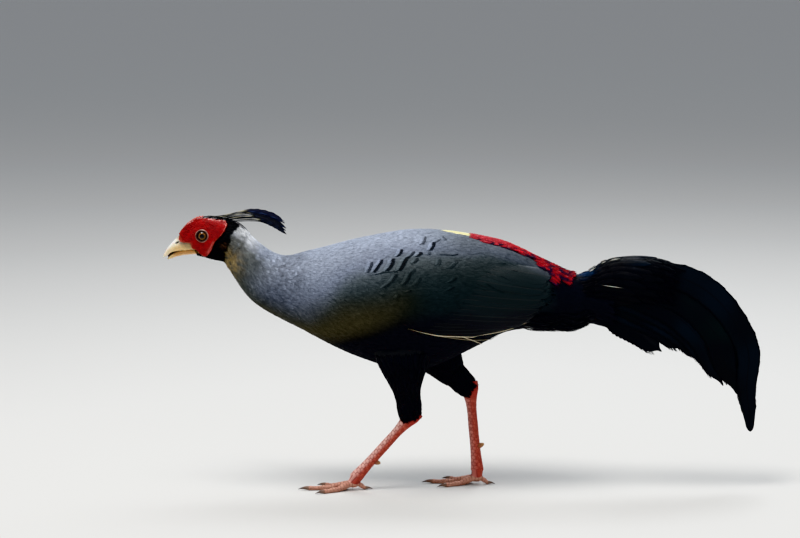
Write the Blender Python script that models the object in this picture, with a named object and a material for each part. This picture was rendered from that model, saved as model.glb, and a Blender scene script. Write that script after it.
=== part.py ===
"""A siamese fireback, the male pheasant, walking: a still model at life size.

The bird walks towards -X on the floor z = 0, with its left side towards -Y.
Sizes are in millimetres here and become metres when a mesh is made.
"""
import math

import bpy
import numpy as np

MILLIMETRE = 0.001
GAP = 0.3
VANE_THICKNESS = 0.6

# Body: one oval at each station from the root of the tail to the root of the bill,
# as back x, back z, belly x, belly z and half width.
STATIONS = [
    (132, 230, 132, 177, 15),
    (116, 229, 118, 171, 20),
    (94, 238, 96, 171, 27),
    (71, 249, 71, 171, 34),
    (45, 261, 45, 167, 41),
    (17, 268, 15, 152, 47),
    (-46, 275, -48, 127, 54),
    (-106, 266, -109, 141, 50),
    (-158, 253, -168, 170, 38),
    (-192, 248, -220, 200, 26),
    (-220, 267, -244, 233, 19.5),
    (-234, 280.5, -249, 241, 15.5),
    (-253, 286.2, -261, 244, 14.5),
    (-273, 287.2, -270, 246.4, 12.5),
    (-289, 277.2, -276.7, 247.8, 9.3),
    (-294.5, 270.4, -279.3, 248.5, 7.8),
]
BODY_SIDES = 28
CUT_LIFT = 0.45
RUMP_STATION = 5
NECK_STATION = 8
HEAD_STATION = 10

# Head
EYE = (-271.6, 269.6)
EYE_RADIUS = 6.2
EYE_INSET = 2.4
SOCKET_ROOM = 0.35
LID_RADIUS = 4.7
LID_UNDERCUT = 1.7
# Rings of the facial skin, as fractions of the way from the lid to the edge, with their heights.
FACE_RINGS = (0, 0.06, 0.16, 0.24, 0.5, 0.84, 1)
FACE_HEIGHTS = (2.3, 2.8, 2.3, 1.3, 1.8, 1.8, 1.0)
FOLD_HEIGHT = 0.35
LOBE_THICKNESS = 1.5
# Half width of the skull below the hanging lobe and at heights up to the crown.
SKULL_HALF_WIDTH = ((245, 256, 280, 288), (8.6, 8.6, 6.5, 4.6))
# Edge of the red facial skin in side view, from the lores over the crown to the hanging lobe.
FACE_EDGE = [
    (-296.8, 267.8), (-294.6, 272.8), (-289.6, 278.4), (-283.2, 282.8), (-276.4, 286.4),
    (-267.0, 286.4), (-256.6, 284.8), (-246.0, 281.6), (-248.0, 275.4), (-254.8, 267.6),
    (-260.2, 259.8), (-263.2, 253.0), (-269.6, 247.4), (-274.6, 250.6), (-279.6, 258.0),
    (-287.2, 261.8),
]
BILL_UPPER = [
    (-295.2, 269.8, -283.9, 253.9, 7.4),
    (-300.0, 265.1, -291.0, 254.9, 6.6),
    (-304.0, 261.1, -297.7, 254.3, 5.6),
    (-307.7, 256.9, -302.9, 253.0, 4.4),
    (-310.8, 252.4, -307.3, 250.1, 3.0),
    (-312.9, 248.3, -310.6, 247.1, 1.7),
    (-313.8, 245.3, -313.2, 245.0, 0.5),
]
BILL_LOWER = [
    (-283.5, 253.4, -280.4, 248.9, 6.4),
    (-289.8, 253.9, -287.2, 248.4, 5.6),
    (-296.1, 253.1, -294.0, 247.6, 4.6),
    (-301.9, 250.9, -300.3, 246.1, 3.5),
    (-306.6, 247.4, -305.0, 244.3, 2.2),
    (-309.1, 244.3, -308.3, 243.5, 0.8),
]
NOSTRIL = (-298.4, 261.6)
NOSTRIL_SIZE = (2.4, 1.5, 0.8)
CREST_PLUMES = 10
CREST_PAD = 1.5
# Roots of the rearmost and the foremost plume, in mm along the body from the crown.
CREST_ROOTS = (-20, 6)
CREST_LANE = 8
CREST_ROOT_LIFT = 1.4
# Lengths of the rearmost and the foremost plume, and the headings along each in degrees.
CREST_LENGTHS = (54, 82)
PLUME_AT = (0, 0.2, 0.45, 0.62, 0.9, 1)
CREST_HEADINGS = ((8, 2, -8, -22, -34, -40), (-2, 9, 13, -3, -26, -34))
PLUME_HALF_WIDTH = (0.45, 0.45, 0.6, 2.2, 2.3, 0.5)
PLUME_HALF_DEPTH = (0.5, 0.45, 0.4, 0.35, 0.3, 0.25)

# Wing in side view: its upper and lower edge at each x.
WING_EDGE_X = (-128, -90, -45, 10, 58, 90)
WING_TOP_Z = (228, 248, 255, 250, 236, 222)
WING_LOW_Z = (212, 186, 172, 169, 178, 200)
WING_RIM = 2.2
WING_CORE = 0.4
WING_SINK = 1.0
# Each tier: name, count, first and last root, first and last heading in degrees, first and last
# length, half width, lift at the root and the tip, tilt, turn towards the tip, steps along it.
WING_TIERS = [
    ("primary", 3, (-58, 173), (-46, 189), (-11, -6), (116, 112), 4.6, (2.4, 3.6), 0.8, 28, 3),
    ("secondary", 6, (-40, 186), (10, 224), (-3, -7), (108, 86), 6.0, (2.5, 6.4), 1.4, 2, 3),
    ("greater", 5, (-76, 190), (-30, 232), (-5, -12), (60, 58), 7.0, (2.4, 7.0), 1.2, -3, 2),
    ("median", 4, (-94, 195), (-64, 234), (-8, -16), (48, 44), 7.4, (2.4, 7.4), 1.2, -3, 2),
    ("lesser", 3, (-110, 205), (-94, 230), (-10, -16), (36, 34), 7.0, (2.3, 7.6), 1.2, -3, 2),
    ("scapular", 4, (-98, 247), (14, 247), (-19, -24), (56, 58), 7.8, (2.0, 9.4), 1.2, -3, 2),
]

# Rump, vent and tail
# Each row: where it starts along the body, length of its feathers, how many, degrees between.
RUMP_FEATHER_ROWS = [(34, 31, 5, 34), (60, 40, 4, 22), (86, 40, 3, 24)]
RUMP_FEATHER_HALF = 7.0
VENT_HALF_ANGLE = 24
VENT_FEATHER_ROWS = 3
VENT_FEATHER_LENGTH = 30
TAIL_ROOT = (141, 200)
TAIL_ROOT_STEP = (-0.6, -2.4)
# Each pair, from the ridge down: length, heading at the root and at the tip, rows of points.
TAIL_PAIRS = [
    (290, 48, -88, 11),
    (212, 36, -71, 8),
    (179, 25, -64, 6),
    (155, 20, -54, 5),
    (130, 16, -46, 5),
    (106, 12, -40, 4),
    (79, -8, -38, 4),
]
# How much of its turn a tail feather has made, along its length.
TAIL_TURN_AT = (0, 0.25, 0.35, 0.45, 0.55, 0.67, 0.78, 0.9, 1)
TAIL_TURN = (0, 0.36, 0.5, 0.63, 0.74, 0.84, 1.06, 0.95, 1)
TAIL_HALF_WIDTH = 13.4
TAIL_WIDTH_AT = (0, 0.05, 0.12, 0.3, 0.6, 0.85, 1)
TAIL_WIDTH = (0.1, 0.2, 0.4, 0.95, 1, 0.75, 0.34)
TAIL_POINT = 7
TAIL_RIDGE_AT = (0, 0.15, 0.4, 1)
TAIL_RIDGE_HALF = (6.5, 4.5, 1.6, 1.4)
TAIL_SLOPE = 0.24
TAIL_STACK = 1.05
TAIL_BLOCK = [
    (132 + GAP, 210, 132 + GAP, 178, 13.8),
    (150, 213, 150, 180, 13),
    (170, 213, 168, 190, 7),
]
# The surface that the feathers over the tail's root lie on.
TAIL_COVER = [
    (132 + GAP, 230, 132 + GAP, 190, 15),
    (150, 240.5, 152, 190, 16.5),
    (176, 245, 178, 188, 16.5),
    (208, 242, 206, 184, 15),
    (240, 230, 230, 178, 13),
]
COVERT_SADDLE = 13
COVERT_HALF_WIDTH = 4.6
COVERT_STEP = 33
# First place along the cover, length, and lift at the root and at the tip, of each tier.
COVERT_TIERS = [(10, 80, (0.4, 2.4)), (6, 58, (0.3, 5.2)), (2, 40, (0.3, 7.6))]

# Legs: the left foot is forward and the right foot back. Places of the thigh's top and middle,
# of the hock, ankle and foot, the thigh's half depths from its top down, the directions across
# the joints, and the headings of the toes.
LEGS = {
    "left": {
        "top": (-62, -27, 152), "middle": (-59.5, -27, 122), "hock": (-54.0, -20.0, 79.0),
        "ankle": (-111.5, -15.0, 13.5), "foot": (-114.5, -15.0, 6.0),
        "thigh_deep": (33, 18.5, 13.0, 11.6, 10.8),
        "knee_way": (0.12, 0.03, -0.99), "ankle_way": (-0.45, 0, -0.89),
        "heading": 182, "hind_heading": 4,
    },
    "right": {
        "top": (-32, 27, 150), "middle": (-12.5, 27, 122), "hock": (9.2, 21.0, 101.0),
        "ankle": (17.2, 16.0, 15.0), "foot": (16.0, 16.0, 6.0),
        "thigh_deep": (30, 16.0, 12.2, 11.2, 9.6),
        "knee_way": (0.64, -0.05, -0.77), "ankle_way": (0.0, 0, -1),
        "heading": 176, "hind_heading": -12,
    },
}
THIGH_WIDE = (18, 17, 13.0, 9.8, 8.2)
SHANK_AT = (0, 0.12, 0.5, 0.85, 1)
SHANK_DEEP = (8.2, 5.8, 4.7, 5.2, 6.2)
SHANK_WIDE = (5.2, 4.4, 3.6, 4.0, 5.0)
FOOT_DEEP = (6.2, 6.0, 5.4, 3.6)
FOOT_WIDE = (5.0, 5.2, 5.0, 3.2)
# Length and scutes of the hind toe, then turn, length and scutes of each front toe.
HIND_TOE = (13, 3)
FRONT_TOES = [(-31, 33, 4), (0, 47, 6), (31, 36, 4)]
TOE_ROOT_HEIGHT = 4.6
TOE_PRESS = 0.7
TOE_JOINTS = 3
TOE_SWELLING = 0.2
CLAW_LENGTH = 11
HIND_CLAW = 0.7
SCUTES_ON_SHANK = 11
SCUTE_STEP = 0.7
SPUR_AT = 0.70
SPUR_LENGTH = 8
SPUR_RISE = 2
SPUR_RADII = (3.2, 3.0, 2.5, 1.7, 0.6)

COLOURS = {
    "grey": (0.24, 0.27, 0.32),
    "blue_black": (0.010, 0.012, 0.035),
    "red_skin": (0.58, 0.015, 0.012),
    "red_feather": (0.50, 0.03, 0.04),
    "horn": (0.72, 0.52, 0.32),
    "eye": (0.16, 0.05, 0.02),
    "leg": (0.42, 0.10, 0.07),
    "claw": (0.20, 0.12, 0.09),
    "tail": (0.004, 0.006, 0.014),
}
ROUGHNESS = {"eye": 0.08, "horn": 0.35, "claw": 0.35, "red_skin": 0.6, "leg": 0.55}


def smooth_curve(knots, values, at):
    """Read at `at` the smooth curve that passes through values at the knots."""
    knots = np.asarray(knots, float)
    values = np.asarray(values, float)
    at = np.clip(np.asarray(at, float), knots[0], knots[-1])
    slopes = np.gradient(values, knots, axis=0)
    i = np.clip(np.searchsorted(knots, at, side="right") - 1, 0, len(knots) - 2)
    span = knots[i + 1] - knots[i]
    f = (at - knots[i]) / span
    if values.ndim > 1:
        span = span[..., None]
        f = f[..., None]
    start = (1 + 2 * f) * (1 - f) ** 2 * values[i] + f * (1 - f) ** 2 * span * slopes[i]
    end = f * f * (3 - 2 * f) * values[i + 1] + f * f * (f - 1) * span * slopes[i + 1]
    return start + end


def unit(vectors):
    return vectors / np.maximum(np.linalg.norm(vectors, axis=-1, keepdims=True), 1e-9)


class Loft:
    """Ovals along a midline. A place is s, in mm along it, and a, in degrees round from
    the back: 90 is the left side and 270 the right side."""

    def __init__(self, stations, widest=0.5):
        self.rows = np.array(stations, float)
        middle = (self.rows[:, 0:2] + self.rows[:, 2:4]) / 2
        steps = np.linalg.norm(np.diff(middle, axis=0), axis=1)
        self.knots = np.concatenate([[0], np.cumsum(steps)])
        self.length = self.knots[-1]
        self.widest = widest
        self.out = math.copysign(1, self.rows[0, 0] - self.rows[-1, 0])

    def oval(self, s, a):
        row = smooth_curve(self.knots, self.rows, s)
        back = row[..., 0:2]
        belly = row[..., 2:4]
        c = np.cos(a)
        up = np.where(c > 0, self.widest + (1 - self.widest) * c, self.widest * (1 + c))
        place = belly + (back - belly) * up[..., None]
        return np.stack([place[..., 0], -row[..., 4] * np.sin(a), place[..., 1]], -1)

    def point(self, s, a, lift=0.0):
        s, a, lift = np.broadcast_arrays(*(np.asarray(v, float) for v in (s, a, lift)))
        a = np.radians(a)
        along = self.oval(s + 0.5, a) - self.oval(s - 0.5, a)
        around = self.oval(s, a + 0.01) - self.oval(s, a - 0.01)
        normal = self.out * unit(np.cross(along, around))
        return self.oval(s, a) + lift[..., None] * normal

    def locate(self, x, z):
        """The s and a of the left-side place that is seen at x, z from the side."""
        x, z = np.broadcast_arrays(np.asarray(x, float), np.asarray(z, float))
        low = np.zeros(x.shape)
        high = np.full(x.shape, self.length)
        for _ in range(32):
            middle = (low + high) / 2
            row = smooth_curve(self.knots, self.rows, middle)
            height = row[..., 0:2] - row[..., 2:4]
            side = height[..., 0] * (z - row[..., 3]) - height[..., 1] * (x - row[..., 2])
            low = np.where(side > 0, middle, low)
            high = np.where(side > 0, high, middle)
        row = smooth_curve(self.knots, self.rows, low)
        height = row[..., 0:2] - row[..., 2:4]
        up = (height[..., 0] * (x - row[..., 2]) + height[..., 1] * (z - row[..., 3]))
        up = up / (height ** 2).sum(-1) - self.widest
        c = np.where(up > 0, up / (1 - self.widest), up / self.widest)
        return low, np.degrees(np.arccos(np.clip(c, -1, 1)))

    def segment(self, first, last, rings, sides, lift=0.0):
        s = np.linspace(first, last, rings)
        a = np.arange(sides) * 360 / sides
        return tube(self.point(s[:, None], a[None, :], lift))


def outward(points, faces):
    """The same closed piece with its faces pointing out."""
    points = np.asarray(points, float)
    faces = np.asarray(faces, int)
    corners = points[faces]
    volume = np.einsum("ij,ij->i", corners[:, 0], np.cross(corners[:, 1], corners[:, 2])).sum()
    return points, faces if volume > 0 else faces[:, ::-1]


def tube(rings):
    """A closed piece through rings of points, with a fan over each end."""
    rings = np.asarray(rings, float)
    count, sides = rings.shape[:2]
    points = np.concatenate([rings.reshape(-1, 3), [rings[0].mean(0)], [rings[-1].mean(0)]])
    faces = []
    for i in range(count - 1):
        for j in range(sides):
            a = i * sides + j
            b = i * sides + (j + 1) % sides
            faces += [(a, b, b + sides), (a, b + sides, a + sides)]
    last = (count - 1) * sides
    for j in range(sides):
        k = (j + 1) % sides
        faces += [(count * sides, k, j), (count * sides + 1, last + j, last + k)]
    return outward(points, faces)


def slab(top, low, ring=False):
    """A closed piece between two grids of points, split alike on both faces.
    With ring set, the second direction of the grids closes on itself."""
    top = np.asarray(top, float)
    low = np.asarray(low, float)
    rows, columns = top.shape[:2]
    points = np.concatenate([top.reshape(-1, 3), low.reshape(-1, 3)])
    under = rows * columns
    faces = []
    for i in range(rows - 1):
        for j in range(columns if ring else columns - 1):
            a = i * columns + j
            b = i * columns + (j + 1) % columns
            c = a + columns
            d = b + columns
            faces += [(a, b, d), (a, d, c)]
            faces += [(under + a, under + d, under + b), (under + a, under + c, under + d)]
    edges = []
    last = (rows - 1) * columns
    for j in range(columns if ring else columns - 1):
        k = (j + 1) % columns
        edges += [(k, j), (last + j, last + k)]
    if not ring:
        for i in range(rows - 1):
            edges += [(i * columns, (i + 1) * columns)]
            edges += [((i + 1) * columns + columns - 1, i * columns + columns - 1)]
    for a, b in edges:
        faces += [(a, b, under + b), (a, under + b, under + a)]
    return outward(points, faces)


def sweep(path, wide, deep, sides, front=(-1, 0, 0), first=None, last=None, raise_front=0.0):
    """A tube along a path: wide is the radius across and deep the radius towards front. first
    and last are the directions of its ends. raise_front lifts the part that faces front."""
    path = np.asarray(path, float)
    along = unit(np.gradient(path, axis=0))
    if first is not None:
        along[0] = unit(np.array(first, float))
    if last is not None:
        along[-1] = unit(np.array(last, float))
    front = np.array(front, float)
    deep_side = unit(front - (along @ front)[:, None] * along)
    wide_side = np.cross(along, deep_side)
    a = np.arange(sides) * math.tau / sides
    facing = np.clip(np.cos(a) * 1.6 + 0.2, 0, 1)
    wide, deep, lip = (np.broadcast_to(np.asarray(v, float), len(path))[:, None]
                       for v in (wide, deep, raise_front))
    out_deep = (deep + lip * facing) * np.cos(a)
    out_wide = (wide + lip * facing) * np.sin(a)
    return path[:, None] + out_deep[..., None] * deep_side[:, None] + \
        out_wide[..., None] * wide_side[:, None]


def mirrored(piece):
    points, faces = piece
    return outward(points * (1, -1, 1), faces)


def new_mesh(name, piece):
    points, faces = piece
    mesh = bpy.data.meshes.new(name)
    mesh.from_pydata((points * MILLIMETRE).tolist(), [], faces.tolist())
    mesh.update()
    return mesh


def largest_surface(mesh):
    """The points and faces of the closed surface that holds most volume."""
    mesh.calc_loop_triangles()
    points = np.array([v.co for v in mesh.vertices]) / MILLIMETRE
    faces = np.array([t.vertices for t in mesh.loop_triangles])
    edges = np.sort(faces[:, [0, 1, 1, 2, 2, 0]].reshape(-1, 2), axis=1)
    pairs = np.argsort(edges[:, 0] * len(points) + edges[:, 1]).reshape(-1, 2) // 3
    owner = np.arange(len(faces))
    changed = True
    while changed:
        low = owner[pairs].min(axis=1)
        fresh = owner.copy()
        np.minimum.at(fresh, pairs.ravel(), np.repeat(low, 2))
        fresh = fresh[fresh]
        changed = (fresh != owner).any()
        owner = fresh
    corners = points[faces]
    volumes = np.einsum("ij,ij->i", corners[:, 0], np.cross(corners[:, 1], corners[:, 2]))
    best = max(np.unique(owner), key=lambda n: volumes[owner == n].sum())
    used, faces = np.unique(faces[owner == best], return_inverse=True)
    return points[used], faces.reshape(-1, 3)


def boolean(piece, others, operation):
    """The piece joined with, or cut by, all the others at once."""
    body = bpy.data.objects.new("boolean_body", new_mesh("boolean_body", piece))
    bpy.context.scene.collection.objects.link(body)
    group = bpy.data.collections.new("boolean_others")
    bpy.context.scene.collection.children.link(group)
    for number, other in enumerate(others):
        helper = bpy.data.objects.new(f"boolean_{number}", new_mesh("helper", other))
        helper.display_type = "WIRE"
        helper.hide_render = True
        group.objects.link(helper)
    modifier = body.modifiers.new("boolean", "BOOLEAN")
    modifier.operation = operation
    modifier.operand_type = "COLLECTION"
    modifier.collection = group
    modifier.solver = "MANIFOLD"
    bpy.context.view_layer.update()
    shown = body.evaluated_get(bpy.context.evaluated_depsgraph_get())
    mesh = bpy.data.meshes.new_from_object(shown)
    result = largest_surface(mesh)
    for helper in list(group.objects):
        bpy.data.objects.remove(helper)
    bpy.data.collections.remove(group)
    bpy.data.objects.remove(body)
    bpy.data.meshes.remove(mesh)
    return result


def fuse(pieces):
    return boolean(pieces[0], pieces[1:], "UNION")


def cut(piece, cutters):
    return boolean(piece, cutters, "DIFFERENCE")


def ball(centre, radii, rings=6, sides=12):
    """An oval ball with its poles along Y."""
    a = np.linspace(0, math.pi, rings + 2)[1:-1, None]
    b = np.arange(sides)[None, :] * math.tau / sides
    x = np.sin(a) * np.cos(b) * radii[0]
    y = np.cos(a) * radii[1] + 0 * b
    z = np.sin(a) * np.sin(b) * radii[2]
    points, faces = tube(np.stack([x, y, z], -1))
    points[-2] = (0, radii[1], 0)
    points[-1] = (0, -radii[1], 0)
    return outward(points + np.array(centre, float), faces)


MATERIALS = {}


def material(kind):
    if kind not in MATERIALS:
        fresh = bpy.data.materials.new(kind)
        fresh.use_nodes = True
        shader = fresh.node_tree.nodes["Principled BSDF"]
        shader.inputs["Base Color"].default_value = (*COLOURS[kind], 1)
        shader.inputs["Roughness"].default_value = ROUGHNESS.get(kind, 0.7)
        shader.inputs["Metallic"].default_value = 0
        fresh.diffuse_color = (*COLOURS[kind], 1)
        MATERIALS[kind] = fresh
    return MATERIALS[kind]


def node(name, piece, kind, parent):
    """One named sub-part, placed at the middle of its own points."""
    points, faces = piece
    middle = np.round((points.min(0) + points.max(0)) / 2)
    made = bpy.data.objects.new(name, new_mesh(name, (points - middle, faces)))
    made.location = [float(v) * MILLIMETRE for v in middle]
    made.data.materials.append(material(kind))
    made.data.shade_smooth()
    made.data.set_sharp_from_angle(angle=math.radians(35))
    made.parent = parent
    bpy.context.scene.collection.objects.link(made)
    return made


BODY = Loft(STATIONS)
RUMP_S = BODY.knots[RUMP_STATION]
NECK_S = BODY.knots[NECK_STATION]
HEAD_S = BODY.knots[HEAD_STATION]


def vane_grid(steps):
    """Places along and across a vane with a narrow root and a tapered tip."""
    u = np.linspace(0, 1, steps + 1) ** 0.6
    widths = np.interp(u, (0, 0.3, 0.75, 1), (0.6, 0.95, 1, 0.5))
    v = np.array([-1.0, 1.0])
    return u[:, None] + 0 * v, widths[:, None] * v, v


def body_vane(root, heading, length, half_width, lifts, steps, tilt, bend, line):
    """A vane laid on the left side of the body from a root seen at x, z. A heading of 0 runs
    back along +X and one below 0 runs back and down. tilt lifts its lower edge over the next,
    and its lift grows with the distance from the line of roots, as its neighbours' does."""
    along, across, v = vane_grid(steps)
    turn = np.radians(heading + bend * along / 2)
    x = root[0] + length * along * np.cos(turn) + half_width * across * np.sin(turn)
    z = root[1] + length * along * np.sin(turn) - half_width * across * np.cos(turn)
    first, last = np.array(line, float)
    behind = unit(np.array((last[1] - first[1], first[0] - last[0])))
    run = np.array((math.cos(math.radians(heading)), math.sin(math.radians(heading))))
    far = (x - first[0]) * behind[0] + (z - first[1]) * behind[1]
    risen = np.clip(far / (length * (run @ behind)), 0, 1.1) ** 0.6
    lift = lifts[0] + (lifts[1] - lifts[0]) * risen + tilt * v * np.clip(4 * risen, 0, 1)
    s, a = BODY.locate(x, z)
    return slab(BODY.point(s, a, lift), BODY.point(s, a, lift - VANE_THICKNESS))


def ring_vane(loft, s, a, length, half_width, lifts, turn=0.0):
    """A vane laid on a loft at s, a, towards the loft's start, or its end where length is
    negative. It turns round the loft by `turn` mm on the way."""
    along, across, _ = vane_grid(2)
    radius = np.linalg.norm(loft.oval(s, math.radians(a)) - loft.oval(s, math.radians(a + 180))) / 2
    s_place = s - length * along
    a_place = a + np.degrees((turn * along + half_width * across) / radius)
    lift = lifts[0] + (lifts[1] - lifts[0]) * along ** 0.7
    past = np.minimum(s_place, 0)[..., None] * np.array((-1.0, 0, 0.25))
    top = loft.point(s_place, a_place, lift) + past
    return slab(top, loft.point(s_place, a_place, lift - VANE_THICKNESS) + past)


def raised_body():
    """The whole body a little larger, to cut what lies on it clear of it."""
    return BODY.segment(0, BODY.length, 36, BODY_SIDES, CUT_LIFT)


def wing_core():
    """The closed wing's own thickness, under its feathers."""
    x = np.linspace(WING_EDGE_X[0], WING_EDGE_X[-1], 8)
    high = smooth_curve(WING_EDGE_X, WING_TOP_Z, x)
    low = smooth_curve(WING_EDGE_X, WING_LOW_Z, x)
    f = np.linspace(0, 1, 5)
    z = low[:, None] + (high - low)[:, None] * f
    edge = np.minimum(1, 4 * f * (1 - f) * 1.4)
    end = np.clip(np.minimum(x - x[0] + 8, x[-1] - x + 8) / 24, 0.3, 1)
    lift = WING_RIM + WING_CORE * edge * end[:, None]
    s, a = BODY.locate(x[:, None] + 0 * z, z)
    return slab(BODY.point(s, a, lift), BODY.point(s, a, -WING_SINK))


def wing():
    """The closed left wing, its feathers in tiers, cut clear of the trunk it lies on."""
    pieces = [wing_core()]
    for _, count, first, last, headings, lengths, half, lifts, tilt, bend, steps in WING_TIERS:
        for i in range(count):
            f = i / (count - 1)
            root = np.array(first) * (1 - f) + np.array(last) * f
            heading = headings[0] * (1 - f) + headings[1] * f
            length = lengths[0] * (1 - f) + lengths[1] * f
            length *= 1 + 0.03 * math.sin(2.4 * i + count)
            pieces.append(body_vane(root, heading, length, half, lifts, steps, tilt, bend,
                                    (first, last)))
    return cut(fuse(pieces), [raised_body()])


def head():
    skull = BODY.segment(HEAD_S + GAP, BODY.length, 10, 22)
    sockets = [ball(eye_centre(side), (EYE_RADIUS + SOCKET_ROOM,) * 3, 6, 12) for side in (-1, 1)]
    return cut(skull, sockets)


def eye_centre(side):
    s, a = BODY.locate(*EYE)
    surface = abs(BODY.point(s, a)[1])
    return np.array((EYE[0], side * (surface - EYE_INSET), EYE[1]))


def face_edge(angles):
    """How far the edge of the red skin is from the eye, at each angle in radians."""
    edge = np.array(FACE_EDGE) - np.array(EYE)
    turn = np.arctan2(edge[:, 1], edge[:, 0])
    order = np.argsort(turn)
    turn = turn[order]
    reach = np.linalg.norm(edge, axis=1)[order]
    turn = np.concatenate([turn - 2 * math.pi, turn, turn + 2 * math.pi])
    return smooth_curve(turn, np.tile(reach, 3), angles)


def face():
    """Red skin of the left side: a lid ring round the eye, folds and a hanging lobe."""
    angles = np.arange(24) * math.tau / 24
    reach = face_edge(angles)
    fractions = np.array(FACE_RINGS)[:, None]
    radius = LID_RADIUS + (reach - LID_RADIUS) * fractions
    inner = radius.copy()
    inner[0] += LID_UNDERCUT
    inner[1] = np.maximum(inner[1], inner[0] + 0.15)
    inner[2] = np.maximum(inner[2], inner[1] + 0.15)
    outer = fractions > 0.3
    lobe = np.clip(-np.sin(angles) - 0.35, 0, 1) * outer
    fold = FOLD_HEIGHT * np.sin(radius * 1.9) * outer * (fractions < 1)
    height = np.array(FACE_HEIGHTS)[:, None] + lobe * LOBE_THICKNESS + fold

    def place(radii, lift, floor):
        x = EYE[0] + radii * np.cos(angles)
        z = EYE[1] + radii * np.sin(angles)
        s, a = BODY.locate(x, z)
        at = BODY.point(s, a, lift)
        clear = np.interp(z, *SKULL_HALF_WIDTH) + floor
        at[..., 1] = np.minimum(at[..., 1], -clear)
        beyond = np.stack([x, at[..., 1], z], -1)
        return np.where((lobe > 0)[..., None], beyond, at)

    return slab(place(radius, height + 0.3, height), place(inner, 0.75, 0), ring=True)


def bill_upper():
    loft = Loft(BILL_UPPER, widest=0.25)
    horn = loft.segment(0, loft.length, 8, 12)
    s, a = loft.locate(*NOSTRIL)
    wells = [ball(loft.point(s, a if side < 0 else -a, 0.1), NOSTRIL_SIZE, 5, 8) for side in (-1, 1)]
    return cut(horn, wells)


def bill_lower():
    loft = Loft(BILL_LOWER, widest=0.7)
    return loft.segment(0, loft.length, 7, 12)


def crest():
    """A low pad on the crown that carries narrow shafts, each with a web at its end."""
    crown = BODY.locate(-262, 286)[0]
    s = crown + np.linspace(-22, 8, 6)[:, None]
    a = np.linspace(-12, 12, 4)
    dome = np.sqrt(1 - 0.8 * np.linspace(-1, 1, 6)[:, None] ** 2)
    pieces = [slab(BODY.point(s, a, 0.6 + CREST_PAD * dome), BODY.point(s, a, 0.6))]
    u = np.array(PLUME_AT)
    half = np.array(PLUME_HALF_WIDTH)
    out = np.array((0, 1, 0)) * np.array(PLUME_HALF_DEPTH)[:, None, None]
    for i in range(CREST_PLUMES):
        f = i / (CREST_PLUMES - 1)
        lane = i % 3 - 1
        root = BODY.point(crown + np.interp(f, (0, 1), CREST_ROOTS), lane * CREST_LANE, CREST_ROOT_LIFT)
        length = np.interp(f, (0, 1), CREST_LENGTHS) * (1 + 0.03 * math.cos(2.6 * i))
        rear, fore = np.radians(CREST_HEADINGS)
        turn = rear * (1 - f) + fore * f
        spread = math.radians(7 * lane)
        way = np.stack([np.cos(turn), 0 * u, np.sin(turn)], -1)
        way = unit(way * math.cos(spread) + np.array((0, math.sin(spread), 0)))
        spine = np.concatenate([[[0, 0, 0]], np.cumsum(way[:-1] * np.diff(u)[:, None] * length, 0)])
        across = unit(np.cross(way, (0, 1, 0)))
        flat = (spine + root)[:, None] + across[:, None] * (half[:, None] * (-1, 1))[..., None]
        pieces.append(slab(flat - out, flat + out))
    return fuse(pieces)


def rump():
    """The rear of the trunk, with rows of red feathers that hang over its sides."""
    pieces = [BODY.segment(0, RUMP_S - GAP, 8, BODY_SIDES)]
    for start, length, count, step in RUMP_FEATHER_ROWS:
        for i in range(count):
            a = step * (i - (count - 1) / 2)
            pieces.append(ring_vane(BODY, start, a, length, RUMP_FEATHER_HALF, (-0.6, 3.8), 0.06 * a))
    return fuse(pieces)


def vent_coverts():
    """A pad under the vent that carries a few rows of soft feathers."""
    s = np.linspace(6, 64, 5)[:, None]
    a = np.linspace(-VENT_HALF_ANGLE, VENT_HALF_ANGLE, 4) + 180
    bulge = np.sin(math.pi * np.linspace(0.15, 0.85, 4))
    pieces = [slab(BODY.point(s, a, 2.0 + 0.8 * bulge), BODY.point(s, a, 1.5))]
    for row in range(VENT_FEATHER_ROWS):
        count = 3 - row % 2
        for i in range(count):
            angle = 180 + 17 * (i - (count - 1) / 2)
            pieces.append(ring_vane(BODY, 24 + 16 * row, angle, VENT_FEATHER_LENGTH, 3.8, (2.0, 5.2)))
    return fuse(pieces)


def tail_side(x, z, ridge):
    """Half width of the roof that the tail feathers lie on, at x, z in side view."""
    reach = np.linalg.norm(np.stack([x, z], -1)[..., None, :] - ridge, axis=-1)
    along_ridge = reach.argmin(-1) / (len(ridge) - 1)
    return smooth_curve(TAIL_RIDGE_AT, TAIL_RIDGE_HALF, along_ridge) + TAIL_SLOPE * reach.min(-1)


def tail_spine(pair, u):
    """Places and directions along a tail feather in side view. Pair 0 is on the ridge."""
    length, start, end, _ = TAIL_PAIRS[pair]
    heading = np.radians(start + (end - start) * smooth_curve(TAIL_TURN_AT, TAIL_TURN, u))
    run = np.stack([np.cos(heading), np.sin(heading)], -1)
    step = (run[1:] + run[:-1]) / 2 * np.diff(u)[:, None] * length
    spine = np.concatenate([[[0, 0]], np.cumsum(step, axis=0)])
    return spine + np.array(TAIL_ROOT) + pair * np.array(TAIL_ROOT_STEP), run


def tail_widths(u):
    return TAIL_HALF_WIDTH * np.interp(u, TAIL_WIDTH_AT, TAIL_WIDTH)


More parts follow.
